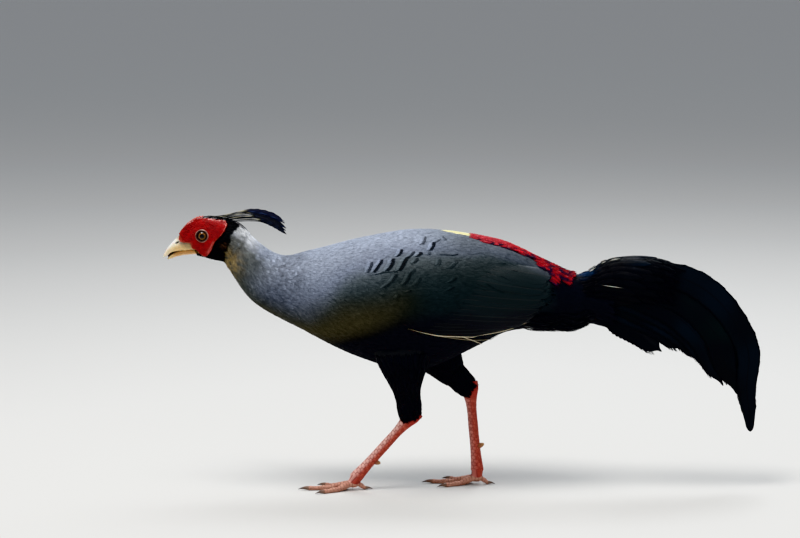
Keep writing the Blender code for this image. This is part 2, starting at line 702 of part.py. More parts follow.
def tail_vane(pair):
    """One feather of the left side, laid on the roof and stacked under the one above."""
    u = np.concatenate([[0, 0.06], np.linspace(0.16, 1, TAIL_PAIRS[pair][3] - 2)])
    spine, run = tail_spine(pair, u)
    down = np.stack([run[:, 1], -run[:, 0]], -1)
    across = tail_widths(u)[:, None] * (-1, 0, 1)
    flat = spine[:, None] + down[:, None] * across[..., None]
    flat[-1, 1] += run[-1] * TAIL_POINT
    fine = np.linspace(0, 1, 60)
    ridge, ridge_run = tail_spine(0, fine)
    above = np.stack([-ridge_run[:, 1], ridge_run[:, 0]], -1)
    ridge = ridge + above * tail_widths(fine)[:, None]
    out = tail_side(flat[..., 0], flat[..., 1], ridge) - TAIL_STACK * pair
    thick = np.interp(u, (0, 1), (0.36, 0.3))[:, None]
    grids = [np.stack([flat[..., 0], -(out + side), flat[..., 1]], -1) for side in (thick, -thick)]
    return slab(*grids)


def tail():
    block = Loft(TAIL_BLOCK)
    pieces = [block.segment(0, block.length, 5, 16)]
    for pair in range(len(TAIL_PAIRS)):
        feather = tail_vane(pair)
        pieces += [feather, mirrored(feather)]
    return fuse(pieces)


def tail_coverts():
    """A saddle over the tail's root that carries the feathers above it, tier over tier."""
    cover = Loft(TAIL_COVER)
    s = np.linspace(0, COVERT_SADDLE, 4)[:, None]
    a = np.linspace(-82, 82, 9)
    top = cover.point(s, a, 0.6)
    top[..., 0] = np.maximum(top[..., 0], TAIL_COVER[0][0])
    pieces = [slab(top, Loft(TAIL_BLOCK).point(s, a, 0.6))]
    for row, (start, length, lifts) in enumerate(COVERT_TIERS):
        count = 5 - row % 2
        for i in range(count):
            angle = COVERT_STEP * (i - (count - 1) / 2)
            run = length * (1 - 0.003 * abs(angle))
            lift = (lifts[0], lifts[1] + i % 2)
            pieces.append(ring_vane(cover, start, angle, -run, COVERT_HALF_WIDTH, lift, 0.08 * angle))
    return fuse(pieces)


def thigh(leg):
    """Feathered thigh from inside the flank down to the hock, cut clear of the belly."""
    top, middle, hock, last = (np.array(leg[k], float) for k in ("top", "middle", "hock", "knee_way"))
    end = hock - unit(last) * GAP
    path = np.array([top, middle, hock * 0.35 + middle * 0.65, hock * 0.75 + middle * 0.25, end])
    knots = np.arange(len(path))
    at = np.linspace(0, knots[-1], 9)
    form = tube(sweep(smooth_curve(knots, path, at), smooth_curve(knots, THIGH_WIDE, at),
                      smooth_curve(knots, leg["thigh_deep"], at), 14, first=(0, 0, -1), last=last))
    return cut(form, [raised_body()])


def shank_rings(hock, ankle, first, last, sides, lip=0.0, lift=0.0):
    """Rings of the bare shank, two at each scute, with its surface raised by lift."""
    hock = np.array(hock, float)
    f = np.repeat(np.linspace(0, 1, SCUTES_ON_SHANK + 1), 2)[1:-1]
    f[1:-1:2] -= 0.004
    path = hock + (np.array(ankle, float) - hock) * f[:, None]
    deep = np.interp(f, SHANK_AT, SHANK_DEEP) + lift
    wide = np.interp(f, SHANK_AT, SHANK_WIDE) + lift
    return sweep(path, wide, deep, sides, first=first, last=last, raise_front=lip)


def shank(hock, ankle, first, last):
    """Bare shank with a row of scutes down its front, each lip over the next."""
    lip = np.tile([0.1, SCUTE_STEP], SCUTES_ON_SHANK)
    return tube(shank_rings(hock, ankle, first, last, 10, lip))


def spur(hock, ankle, first, last):
    """A horny spur low on the inner rear of the shank, which it meets face to face."""
    horn_way = np.array(ankle, float) - np.array(hock, float)
    along = unit(horn_way)
    back = unit(np.array((1.0, 0, 0)) - along[0] * along)
    inward = np.array((0, -0.25 * np.sign(hock[1]), 0))
    root = np.array(hock, float) + horn_way * SPUR_AT + back * 1.5
    u = np.linspace(0, 1, len(SPUR_RADII))[:, None]
    path = root + (back + inward) * u * SPUR_LENGTH - along * u * u * SPUR_RISE
    horn = tube(sweep(path, SPUR_RADII, SPUR_RADII, 6, front=along))
    return cut(horn, [tube(shank_rings(hock, ankle, first, last, 12, 0.0, GAP + 0.1))])


def toe_way(heading):
    return np.array((math.cos(math.radians(heading)), math.sin(math.radians(heading)), 0))


def toe_radius(f, rear):
    """Radius of a toe at each fraction of its length, with a swelling over each joint."""
    start, end = (3.0, 2.0) if rear else (3.7, 2.4)
    return start + (end - start) * f + TOE_SWELLING * np.cos(f * math.tau * TOE_JOINTS)


def toe(foot, heading, length, scutes, rear=False):
    """A toe from inside the foot out along the floor, where its underside is pressed flat."""
    f = np.repeat(np.linspace(0, 1, scutes + 1), 2)[1:-1] + np.tile([0, -0.01], scutes)
    f[-1] = 1
    radius = toe_radius(f, rear)
    way = toe_way(heading)
    path = np.array(foot, float) + way * (f * length)[:, None]
    arch = (0.45, 1) if rear else (0.1, 0.55)
    path[:, 2] = np.interp(f, arch, (TOE_ROOT_HEIGHT, 0)) + TOE_PRESS * radius
    lip = np.tile([0.05, 0.55], scutes)
    rings = sweep(path, radius, radius, 8, front=(0, 0, 1), first=way, last=way, raise_front=lip)
    rings[..., 2] = np.maximum(rings[..., 2], 0)
    return tube(rings)


def claw(foot, heading, length, rear=False):
    """A claw that leaves the toe's end, rises a little and curves down to its point."""
    way = toe_way(heading)
    end = np.array(foot, float) + way * (length + GAP)
    end[2] = TOE_PRESS * toe_radius(1.0, rear) + 0.3
    u = np.linspace(0, 1, 4)[:, None]
    size = CLAW_LENGTH * (HIND_CLAW if rear else 1)
    path = end + way * u * size + np.array((0, 0, 1)) * (2.2 * u - 3.2 * u * u)
    radius = toe_radius(1.0, rear) * np.array([0.8, 0.68, 0.4, 0.1])
    rings = sweep(path, radius * 0.85, radius, 6, front=(0, 0, 1), first=way)
    rings[..., 2] = np.maximum(rings[..., 2], 0.2)
    return tube(rings)


def toes(heading, rear_heading):
    """Heading, length, number of scutes and whether it is the hind toe, for each toe."""
    front = [(heading + turn, length, scutes, False) for turn, length, scutes in FRONT_TOES]
    return [(rear_heading, *HIND_TOE, True)] + front


def foot(centre, ankle, top_normal, heading, rear_heading):
    """Toes joined at a pad that meets the shank face to face."""
    ankle = np.array(ankle, float) + unit(np.array(top_normal, float)) * GAP
    middle = np.array(centre, float)
    path = np.array([ankle, ankle * 0.5 + middle * 0.5, middle, middle - (0, 0, 3.0)])
    pieces = [tube(sweep(path, FOOT_WIDE, FOOT_DEEP, 10, first=top_normal))]
    for turn, length, scutes, rear in toes(heading, rear_heading):
        pieces.append(toe(centre, turn, length, scutes, rear))
    return fuse(pieces)


def build():
    for old in list(bpy.data.objects):
        bpy.data.objects.remove(old)
    bird = bpy.data.objects.new("siamese_fireback", None)
    bpy.context.scene.collection.objects.link(bird)

    node("torso", BODY.segment(RUMP_S, NECK_S, 13, BODY_SIDES), "grey", bird)
    node("neck", BODY.segment(NECK_S + GAP, HEAD_S, 7, 22), "grey", bird)
    node("head", head(), "blue_black", bird)
    node("bill_upper", bill_upper(), "horn", bird)
    node("bill_lower", bill_lower(), "horn", bird)
    node("crest", crest(), "blue_black", bird)
    node("rump", rump(), "red_feather", bird)
    node("vent_coverts", vent_coverts(), "blue_black", bird)
    node("tail_coverts", tail_coverts(), "tail", bird)
    node("tail", tail(), "tail", bird)

    left_face = face()
    left_wing = wing()
    for side, name in ((-1, "left"), (1, "right")):
        node(f"face_{name}", left_face if side < 0 else mirrored(left_face), "red_skin", bird)
        node(f"wing_{name}", left_wing if side < 0 else mirrored(left_wing), "grey", bird)
        node(f"eye_{name}", ball(eye_centre(side), (EYE_RADIUS,) * 3), "eye", bird)

    for name, leg in LEGS.items():
        hock, ankle, knee_way, ankle_way = (leg[k] for k in ("hock", "ankle", "knee_way", "ankle_way"))
        node(f"thigh_{name}", thigh(leg), "blue_black", bird)
        node(f"shank_{name}", shank(hock, ankle, knee_way, ankle_way), "leg", bird)
        node(f"spur_{name}", spur(hock, ankle, knee_way, ankle_way), "claw", bird)
        sole = foot(leg["foot"], ankle, ankle_way, leg["heading"], leg["hind_heading"])
        node(f"foot_{name}", sole, "leg", bird)
        each_toe = toes(leg["heading"], leg["hind_heading"])
        for number, (turn, length, _, hind) in enumerate(each_toe, start=1):
            horn = claw(leg["foot"], turn, length, hind)
            node(f"claw_{name}_{number}", horn, "claw", bird)


build()
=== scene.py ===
"""The looks of a siamese fireback, the male pheasant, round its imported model.

The bird walks towards -X with its left side towards -Y. Lengths are in millimetres
and become metres when a mesh is made. s runs along a body from its rear, and a runs
round it in degrees from the back: 90 is the left side and 270 the right side.
"""
import math

import bpy
import numpy as np
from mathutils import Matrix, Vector


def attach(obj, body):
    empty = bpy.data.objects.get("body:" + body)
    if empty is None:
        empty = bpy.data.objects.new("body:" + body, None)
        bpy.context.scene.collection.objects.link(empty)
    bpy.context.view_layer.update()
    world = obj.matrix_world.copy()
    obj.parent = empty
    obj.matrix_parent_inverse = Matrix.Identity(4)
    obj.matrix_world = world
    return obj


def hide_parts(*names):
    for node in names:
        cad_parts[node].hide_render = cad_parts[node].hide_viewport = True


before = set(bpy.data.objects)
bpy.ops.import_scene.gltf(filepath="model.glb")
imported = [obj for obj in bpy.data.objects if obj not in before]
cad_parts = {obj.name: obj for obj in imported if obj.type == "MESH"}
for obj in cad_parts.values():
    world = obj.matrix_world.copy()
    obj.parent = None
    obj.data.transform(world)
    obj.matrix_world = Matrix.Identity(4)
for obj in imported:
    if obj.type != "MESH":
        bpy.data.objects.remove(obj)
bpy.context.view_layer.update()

MILLIMETRE = 0.001

# The construction's own named sizes, repeated here.
STATIONS = [
    (132, 230, 132, 177, 15), (116, 229, 118, 171, 20), (94, 238, 96, 171, 27),
    (71, 249, 71, 171, 34), (45, 261, 45, 167, 41), (17, 268, 15, 152, 47),
    (-46, 275, -48, 127, 54), (-106, 266, -109, 141, 50), (-158, 253, -168, 170, 38),
    (-192, 248, -220, 200, 26), (-220, 267, -244, 233, 19.5), (-234, 280.5, -249, 241, 15.5),
    (-253, 286.2, -261, 244, 14.5), (-273, 287.2, -270, 246.4, 12.5),
    (-289, 277.2, -276.7, 247.8, 9.3), (-294.5, 270.4, -279.3, 248.5, 7.8),
]
RUMP_STATION = 5
NECK_STATION = 8
HEAD_STATION = 10
NAPE_STATION = 11
EYE = (-271.6, 269.6)
EYE_RADIUS = 6.2
EYE_INSET = 2.4
SKULL_HALF_WIDTH = ((245, 256, 280, 288), (8.6, 8.6, 6.5, 4.6))
FACE_EDGE = [
    (-296.8, 267.8), (-294.6, 272.8), (-289.6, 278.4), (-283.2, 282.8), (-276.4, 286.4),
    (-267.0, 286.4), (-256.6, 284.8), (-246.0, 281.6), (-248.0, 275.4), (-254.8, 267.6),
    (-260.2, 259.8), (-263.2, 253.0), (-269.6, 247.4), (-274.6, 250.6), (-279.6, 258.0),
    (-287.2, 261.8), (-294.6, 262.9),
]
BILL_UPPER = [
    (-295.2, 269.8, -283.9, 253.9, 7.4), (-300.0, 265.1, -291.0, 254.9, 6.6),
    (-304.0, 261.1, -297.7, 254.3, 5.6), (-307.7, 256.9, -302.9, 253.0, 4.4),
    (-310.8, 252.4, -307.3, 250.1, 3.0), (-312.9, 248.3, -310.6, 247.1, 1.7),
    (-313.8, 245.3, -313.2, 245.0, 0.5),
]
BILL_LOWER = [
    (-283.5, 255.0, -280.4, 248.9, 6.4), (-289.8, 254.7, -287.2, 248.4, 5.6),
    (-296.1, 253.8, -294.0, 247.6, 4.6), (-301.9, 250.9, -300.3, 246.1, 3.5),
    (-306.6, 247.4, -305.0, 244.3, 2.2), (-309.1, 244.3, -308.3, 243.5, 0.8),
]
NOSTRIL = (-298.4, 261.6)
WING_EDGE_X = (-128, -90, -45, 10, 58, 90)
WING_TOP_Z = (228, 248, 255, 250, 236, 222)
WING_LOW_Z = (212, 186, 172, 169, 178, 200)
TAIL_ROOT = (141, 200)
TAIL_ROOT_STEP = (-0.6, -2.4)
TAIL_PAIRS = [
    (290, 48, -88), (212, 36, -71), (179, 25, -64), (155, 20, -54), (130, 16, -46),
    (106, 12, -40), (79, -8, -38),
]
TAIL_TURN_AT = (0, 0.25, 0.35, 0.45, 0.55, 0.67, 0.78, 0.9, 1)
TAIL_TURN = (0, 0.36, 0.5, 0.63, 0.74, 0.84, 1.06, 0.95, 1)
TAIL_HALF_WIDTH = 13.4
TAIL_WIDTH_AT = (0, 0.05, 0.12, 0.3, 0.6, 0.85, 1)
TAIL_WIDTH = (0.1, 0.2, 0.4, 0.95, 1, 0.75, 0.34)
TAIL_RIDGE_AT = (0, 0.15, 0.4, 1)
TAIL_RIDGE_HALF = (6.5, 4.5, 1.6, 1.4)
TAIL_SLOPE = 0.24
TAIL_STACK = 1.05
TAIL_COVER = [
    (132.3, 230, 132.3, 190, 15), (150, 240.5, 152, 190, 16.5), (176, 245, 178, 188, 16.5),
    (208, 242, 206, 184, 15), (240, 230, 230, 178, 13),
]
# pale: how strongly the front of the shank is painted paler as a highlight, full on the near leg and weaker
# on the far one.
LEGS = {
    "left": {
        "top": (-62, -27, 152), "middle": (-59.5, -27, 122), "hock": (-54.0, -20.0, 79.0),
        "ankle": (-111.5, -15.0, 13.5), "foot": (-114.5, -15.0, 6.0),
        "thigh_deep": (33, 18.5, 13.0, 11.6, 10.8),
        "knee_way": (0.12, 0.03, -0.99), "ankle_way": (-0.45, 0, -0.89),
        "heading": 182, "hind_heading": 4, "hem_way": (0.29, 0.03, -0.957), "pale": 1.0,
    },
    "right": {
        "top": (-32, 27, 150), "middle": (-12.5, 27, 122), "hock": (9.2, 21.0, 101.0),
        "ankle": (17.2, 16.0, 15.0), "foot": (16.0, 16.0, 6.0),
        "thigh_deep": (30, 16.0, 12.2, 11.2, 9.6),
        "knee_way": (0.64, -0.05, -0.77), "ankle_way": (0.0, 0, -1),
        "heading": 176, "hind_heading": -12, "hem_way": (0.85, -0.05, -0.52), "pale": 0.35,
    },
}
THIGH_WIDE = (18, 17, 13.0, 9.8, 8.2)
SHANK_AT = (0, 0.12, 0.5, 0.85, 1)
SHANK_DEEP = (8.2, 5.8, 4.7, 5.2, 6.2)
SHANK_WIDE = (5.2, 4.4, 3.6, 4.0, 5.0)
FOOT_DEEP = (6.2, 6.0, 5.4, 3.6)
FOOT_WIDE = (5.0, 5.2, 5.0, 3.2)
HIND_TOE = 13
FRONT_TOES = [(-31, 33), (0, 47), (31, 36)]
TOE_ROOT_HEIGHT = 4.6
TOE_PRESS = 0.7
CLAW_LENGTH = 11
HIND_CLAW = 0.7
SPUR_AT = 0.70
SPUR_LENGTH = 8
SPUR_RISE = 2

RANDOM = np.random.default_rng(41)


def smooth_curve(knots, values, at):
    """Read at `at` the smooth curve that passes through values at the knots."""
    knots = np.asarray(knots, float)
    values = np.asarray(values, float)
    at = np.clip(np.asarray(at, float), knots[0], knots[-1])
    slopes = np.gradient(values, knots, axis=0)
    i = np.clip(np.searchsorted(knots, at, side="right") - 1, 0, len(knots) - 2)
    span = knots[i + 1] - knots[i]
    f = (at - knots[i]) / span
    if values.ndim > 1:
        span = span[..., None]
        f = f[..., None]
    start = (1 + 2 * f) * (1 - f) ** 2 * values[i] + f * (1 - f) ** 2 * span * slopes[i]
    end = f * f * (3 - 2 * f) * values[i + 1] + f * f * (f - 1) * span * slopes[i + 1]
    return start + end


def unit(vectors):
    return vectors / np.maximum(np.linalg.norm(vectors, axis=-1, keepdims=True), 1e-9)


def ease(low, high, value):
    """0 below low, 1 above high and a soft step between."""
    f = np.clip((np.asarray(value, float) - low) / (high - low), 0, 1)
    return f * f * (3 - 2 * f)


def mix(first, second, share):
    share = np.asarray(share, float)[..., None]
    return np.asarray(first, float) * (1 - share) + np.asarray(second, float) * share


def rgb(red, green, blue):
    """A colour as seen on a screen, 0 to 255, as the linear light that shaders take."""
    seen = np.array((red, green, blue), float) / 255
    return np.where(seen > 0.04045, ((seen + 0.055) / 1.055) ** 2.4, seen / 12.92)


def lattice(cells, seed):
    """A number from 0 to 1 for each whole-numbered cell."""
    i, j, k = (cells[..., n].astype(np.int64) for n in range(3))
    n = (i * 73856093) ^ (j * 19349663) ^ (k * 83492791) ^ (seed * 97531)
    n = ((n ^ (n >> 13)) * 1274126177) & 0x7FFFFFFF
    n = ((n ^ (n >> 15)) * 668265263) & 0x7FFFFFFF
    return ((n ^ (n >> 16)) & 0xFFFF) / 65535


def noise(points, size, seed=0):
    """Smooth noise from -1 to 1, with lumps of the given size along each axis."""
    p = np.asarray(points, float) / np.asarray(size, float)
    base = np.floor(p)
    f = p - base
    f = f * f * (3 - 2 * f)
    total = 0
    for corner in np.ndindex(2, 2, 2):
        weight = np.prod(np.where(np.array(corner) > 0, f, 1 - f), axis=-1)
        total = total + weight * lattice(base + corner, seed)
    return total * 2 - 1


def plates(x, y, jitter, seed=0):
    """Cells of size 1 on a staggered grid: distance from the nearest middle, distance to
    the nearest border, and a number for each cell."""
    row = np.round(y)
    best = np.full(np.shape(x), 9.0)
    second = np.full(np.shape(x), 9.0)
    label = np.zeros(np.shape(x))
    for dy in (-1, 0, 1):
        r = row + dy
        shift = 0.5 * (r % 2)
        column = np.round(x - shift)
        for dx in (-1, 0, 1):
            cell = np.stack([column + dx, r, 0 * r], -1)
            near = jitter * (lattice(cell, seed) - 0.5)
            far = jitter * (lattice(cell, seed + 7) - 0.5)
            away = np.hypot(x - column - dx - shift - near, (y - r - far) * 0.95)
            closer = away < best
            second = np.where(closer, best, np.minimum(second, away))
            label = np.where(closer, lattice(cell, seed + 3), label)
            best = np.where(closer, away, best)
    return best, (second - best) / 2, label


class Shape:
    """A long rounded body that feathers are laid on. Its oval(s, a) gives each place."""
    out = 1.0

    def place(self, s, a, lift=0.0):
        """Points and outward normals. Places with s below 0 run on past the rear end."""
        s, a, lift = np.broadcast_arrays(*(np.asarray(v, float) for v in (s, a, lift)))
        a = np.radians(a)
        along = self.oval(s + 0.5, a) - self.oval(s - 0.5, a)
        around = self.oval(s, a + 0.01) - self.oval(s, a - 0.01)
        normal = self.out * unit(np.cross(along, around))
        past = np.minimum(s, 0)[..., None] * self.rear_way
        return self.oval(s, a) + lift[..., None] * normal - past, normal

    def point(self, s, a, lift=0.0):
        return self.place(s, a, lift)[0]

    def girth(self, s, a):
        """Millimetres round the body for each radian of a."""
        a = np.radians(a)
        return np.linalg.norm(self.oval(s, a + 0.02) - self.oval(s, a - 0.02), axis=-1) / 0.04


class Loft(Shape):
    """Ovals along a midline."""

    def __init__(self, stations, widest=0.5, rear_way=(1.0, 0, -0.25)):
        self.rows = np.array(stations, float)
        middle = (self.rows[:, 0:2] + self.rows[:, 2:4]) / 2
        steps = np.linalg.norm(np.diff(middle, axis=0), axis=1)
        self.knots = np.concatenate([[0], np.cumsum(steps)])
        self.length = self.knots[-1]
        self.widest = widest
        self.rear_way = np.array(rear_way)
        self.out = math.copysign(1, self.rows[0, 0] - self.rows[-1, 0])

    def oval(self, s, a):
        row = smooth_curve(self.knots, self.rows, s)
        back = row[..., 0:2]
        belly = row[..., 2:4]
        c = np.cos(a)
        up = np.where(c > 0, self.widest + (1 - self.widest) * c, self.widest * (1 + c))
        place = belly + (back - belly) * up[..., None]
        return np.stack([place[..., 0], -row[..., 4] * np.sin(a), place[..., 1]], -1)

    def locate(self, x, z):
        """The s and a of the left-side place that is seen at x, z from the side."""
        x, z = np.broadcast_arrays(np.asarray(x, float), np.asarray(z, float))
        low = np.zeros(x.shape)
        high = np.full(x.shape, self.length)
        for _ in range(26):
            middle = (low + high) / 2
            row = smooth_curve(self.knots, self.rows[:, :4], middle)
            height = row[..., 0:2] - row[..., 2:4]
            side = self.out * (height[..., 0] * (z - row[..., 3]) - height[..., 1] * (x - row[..., 2]))
            low = np.where(side > 0, middle, low)
            high = np.where(side > 0, high, middle)
        row = smooth_curve(self.knots, self.rows, low)
        height = row[..., 0:2] - row[..., 2:4]
        up = (height[..., 0] * (x - row[..., 2]) + height[..., 1] * (z - row[..., 3]))
        up = up / (height ** 2).sum(-1) - self.widest
        c = np.where(up > 0, up / (1 - self.widest), up / self.widest)
        return low, np.degrees(np.arccos(np.clip(c, -1, 1)))


class Limb(Shape):
    """Ovals round a path, from its lower end up."""
    out = -1.0

    def __init__(self, path, wide, deep, last):
        knots = np.arange(len(path))
        at = np.linspace(0, knots[-1], 40)
        self.path = smooth_curve(knots, np.array(path, float), at)[::-1]
        self.wide = smooth_curve(knots, wide, at)[::-1]
        self.deep = smooth_curve(knots, deep, at)[::-1]
        steps = np.linalg.norm(np.diff(self.path, axis=0), axis=1)
        self.knots = np.concatenate([[0], np.cumsum(steps)])
        self.length = self.knots[-1]
        self.rear_way = unit(np.array(last, float))
        along = unit(np.gradient(self.path, axis=0))
        along[0] = -self.rear_way
        front = np.array((-1.0, 0, 0))
        self.front = unit(front - (along @ front)[:, None] * along)
        self.side = np.cross(along, self.front)

    def oval(self, s, a):
        middle, front, side, wide, deep = (smooth_curve(self.knots, v, s) for v in
                                           (self.path, self.front, self.side, self.wide, self.deep))
        return middle + front * (deep * np.cos(a))[..., None] + side * (wide * np.sin(a))[..., None]


BODY = Loft(STATIONS)
RUMP_S, NECK_S, HEAD_S, NAPE_S = (BODY.knots[n] for n in
                                  (RUMP_STATION, NECK_STATION, HEAD_STATION, NAPE_STATION))


def thigh_limb(leg):
    top, middle, hock = (np.array(leg[k], float) for k in ("top", "middle", "hock"))
    path = [top, middle, hock * 0.35 + middle * 0.65, hock * 0.75 + middle * 0.25, hock]
    return Limb(path, THIGH_WIDE, leg["thigh_deep"], leg["hem_way"])


THIGHS = {name: thigh_limb(leg) for name, leg in LEGS.items()}


# Faces of the small forms, all closed

NO_TRIANGLES = np.zeros((0, 3), int)


def spindle_faces(rings, sides):
    """Triangles and quads of a form with a point at each end. Points: the root, each ring
    in turn, the tip."""
    tip = 1 + rings * sides
    triangles = []
    quads = []
    for j in range(sides):
        k = (j + 1) % sides
        triangles += [(0, 1 + k, 1 + j), (tip, tip - sides + j, tip - sides + k)]
        for i in range(rings - 1):
            low = 1 + i * sides
            quads.append((low + j, low + k, low + sides + k, low + sides + j))
    return np.array(triangles), np.array(quads, int).reshape(-1, 4)


def lens_faces(rows, columns):
    """Quads of a vane whose two faces share their rim. Points: the whole upper grid, then
    the inner points of the lower one."""
    upper = np.arange(rows * columns).reshape(rows, columns)
    lower = upper.copy()
    lower[1:-1, 1:-1] = rows * columns + np.arange((rows - 2) * (columns - 2)).reshape(rows - 2, -1)
    quads = []
    for grid, turn in ((upper, 1), (lower, -1)):
        corners = np.stack([grid[:-1, :-1], grid[:-1, 1:], grid[1:, 1:], grid[1:, :-1]], -1)
        quads.append(corners.reshape(-1, 4)[:, ::turn])
    return NO_TRIANGLES, np.concatenate(quads)


def torus_faces(rows, columns):
    """Quads of rings that close both round themselves and from the last to the first."""
    i, j = np.meshgrid(np.arange(rows), np.arange(columns), indexing="ij")
    after = (i + 1) % rows
    k = (j + 1) % columns
    quads = np.stack([i * columns + j, i * columns + k, after * columns + k, after * columns + j], -1)
    return NO_TRIANGLES, quads.reshape(-1, 4)


def ring_faces(rows, columns):
    """Quads of a tube of rings, with a fan over each end from an added middle point."""
    quads = torus_faces(rows, columns)[1][:(rows - 1) * columns]
    j = np.arange(columns)
    k = (j + 1) % columns
    end = rows * columns
    first = np.stack([0 * j + end, k, j], -1)
    last = np.stack([0 * j + end + 1, end - columns + j, end - columns + k], -1)
    return np.concatenate([first, last]), quads


class Batch:
    """Many forms with the same faces: points (n, p, 3), colours (n, p, 3), where each point
    is on its own vane (n, p, 2) as along and across, the place of each root on the skin's own
    unwrap (n, 2), where each point lies on the body in mm (n, p, 2), and the normals of the
    surface that they lie on (n, p, 3)."""

    def __init__(self, points, faces, colours, vane, roots, lie=None, normals=None):
        self.points = np.asarray(points, float)
        n, p = self.points.shape[:2]
        self.colours = np.broadcast_to(np.asarray(colours, float), (n, p, 3))
        self.vane = np.broadcast_to(np.asarray(vane, float), (n, p, 2))
        self.roots = np.broadcast_to(np.asarray(roots, float), (n, 2))
        self.lie = self.points[..., [0, 2]] if lie is None else np.broadcast_to(lie, (n, p, 2))
        self.normals = normals
        triangles, quads = faces
        one = np.concatenate([triangles, quads[:, :3], quads[:, [0, 2, 3]]])
        corners = (self.points[0] - self.points[0].mean(0))[one]
        volume = np.einsum("ij,ij->i", corners[:, 0], np.cross(corners[:, 1], corners[:, 2])).sum()
        step = 1 if volume > 0 else -1
        self.triangles = triangles[:, ::step]
        self.quads = quads[:, ::step]

    def mirrored(self):
        faces = (self.triangles, self.quads)
        roots = self.roots * (-1, 1) + (1, 0)
        normals = None if self.normals is None else self.normals * (1, -1, 1)
        return Batch(self.points * (1, -1, 1), faces, self.colours, self.vane, roots, self.lie, normals)


def surface_batch(grid, faces, colours, vane, side=-1):
    """One closed surface as a batch, on the left or mirrored to the right. Faces that have
    triangles also use the middles of the first and the last row."""
    points = grid.reshape(-1, 3)
    colours = np.broadcast_to(colours, grid.shape).reshape(-1, 3)
    vane = np.broadcast_to(vane, grid.shape[:2] + (2,)).reshape(-1, 2)
    if len(faces[0]):
        points = np.concatenate([points, [grid[0].mean(0)], [grid[-1].mean(0)]])
        colours = np.concatenate([colours, colours[:1], colours[-1:]])
        vane = np.concatenate([vane, vane[:1], vane[-1:]])
    batch = Batch(points[None], faces, colours[None], vane[None], np.zeros((1, 2)))
    return batch if side < 0 else batch.mirrored()


def tube_batch(rings, colours, vane, side=-1):
    return surface_batch(rings, ring_faces(*rings.shape[:2]), colours, vane, side)


def lens_batch(upper, lower, colours, u, v):
    """A vane from its two faces, which meet at the rim."""
    vane = np.stack(np.broadcast_arrays(u[:, None], v[None]), -1)
    colours = np.broadcast_to(colours, upper.shape)
    points, vane, colours = (
        np.concatenate([first.reshape(-1, first.shape[-1]), second[1:-1, 1:-1].reshape(-1, first.shape[-1])])
        for first, second in ((upper, lower), (vane, vane), (colours, colours)))
    return Batch(points[None], lens_faces(*upper.shape[:2]), colours[None], vane[None], np.zeros((1, 2)))


# Size of each form's own patch on the unwrap of a piece.
PATCH = 0.003


def vertex_values(mesh, key):
    """The places or the normals of a mesh's points."""
    values = np.zeros(len(mesh.vertices) * 3, np.float32)
    mesh.vertices.foreach_get(key, values)
    return values.reshape(-1, 3).astype(float)


def colour_mesh(mesh, colours):
    full = np.ones((len(colours), 4), np.float32)
    full[:, :3] = np.clip(colours, 0, 1)
    mesh.attributes.new("tint", "FLOAT_COLOR", "POINT").data.foreach_set("color", full.ravel())
    mesh.shade_smooth()


def make_piece(name, batches, material, nodes=(), soft=0.0):
    """One mesh object from batches, riding on the frame's one body. soft is the share of the
    normals of the surface below in the normals of its feathers."""
    points, colours, vane, lie = (
        np.concatenate([getattr(b, key).reshape(-1, width) for b in batches])
        for key, width in (("points", 3), ("colours", 3), ("vane", 2), ("lie", 2)))
    roots = np.concatenate([np.repeat(b.roots, b.points.shape[1], axis=0) for b in batches])
    low = roots.min(0)
    span = np.maximum(roots.max(0) - low, 1e-6)
    across = vane[:, ::-1] * (0.5, 1) - (0, 0.5)
    places = (roots - low) / span * (1 - 2 * PATCH) + PATCH + across * PATCH
    corners = []
    sizes = []
    start = 0
    for b in batches:
        n, p = b.points.shape[:2]
        first = start + np.arange(n)[:, None, None] * p
        for faces in (b.triangles, b.quads):
            corners.append((first + faces[None]).reshape(-1))
            sizes.append(np.full(n * len(faces), faces.shape[1]))
        start += n * p
    corners = np.concatenate(corners).astype(np.int32)
    sizes = np.concatenate(sizes).astype(np.int32)
    mesh = bpy.data.meshes.new(name)
    mesh.vertices.add(len(points))
    mesh.vertices.foreach_set("co", (points * MILLIMETRE).astype(np.float32).ravel())
    mesh.loops.add(len(corners))
    mesh.loops.foreach_set("vertex_index", corners)
    mesh.polygons.add(len(sizes))
    starts = np.concatenate([[0], np.cumsum(sizes)[:-1]]).astype(np.int32)
    mesh.polygons.foreach_set("loop_start", starts)
    mesh.update(calc_edges=True)
    for map_name, values in (("OFBake", places), ("vane", vane), ("lie", lie)):
        layer = mesh.uv_layers.new(name=map_name)
        layer.uv.foreach_set("vector", values[corners].astype(np.float32).ravel())
    colour_mesh(mesh, colours)
    mesh.validate()
    if soft:
        below = np.concatenate([b.normals.reshape(-1, 3) for b in batches])
        normals = unit(vertex_values(mesh, "normal") * (1 - soft) + below * soft)
        mesh.normals_split_custom_set_from_vertices(normals)
    finish_piece(name, mesh, material, nodes)


def finish_piece(name, mesh, material, nodes):
    """The object of a mesh, with what the frame needs to know of it."""
    made = bpy.data.objects.new(name, mesh)
    mesh.materials.clear()
    mesh.materials.append(material)
    bpy.context.scene.collection.objects.link(made)
    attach(made, "root")
    if nodes:
        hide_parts(*nodes)


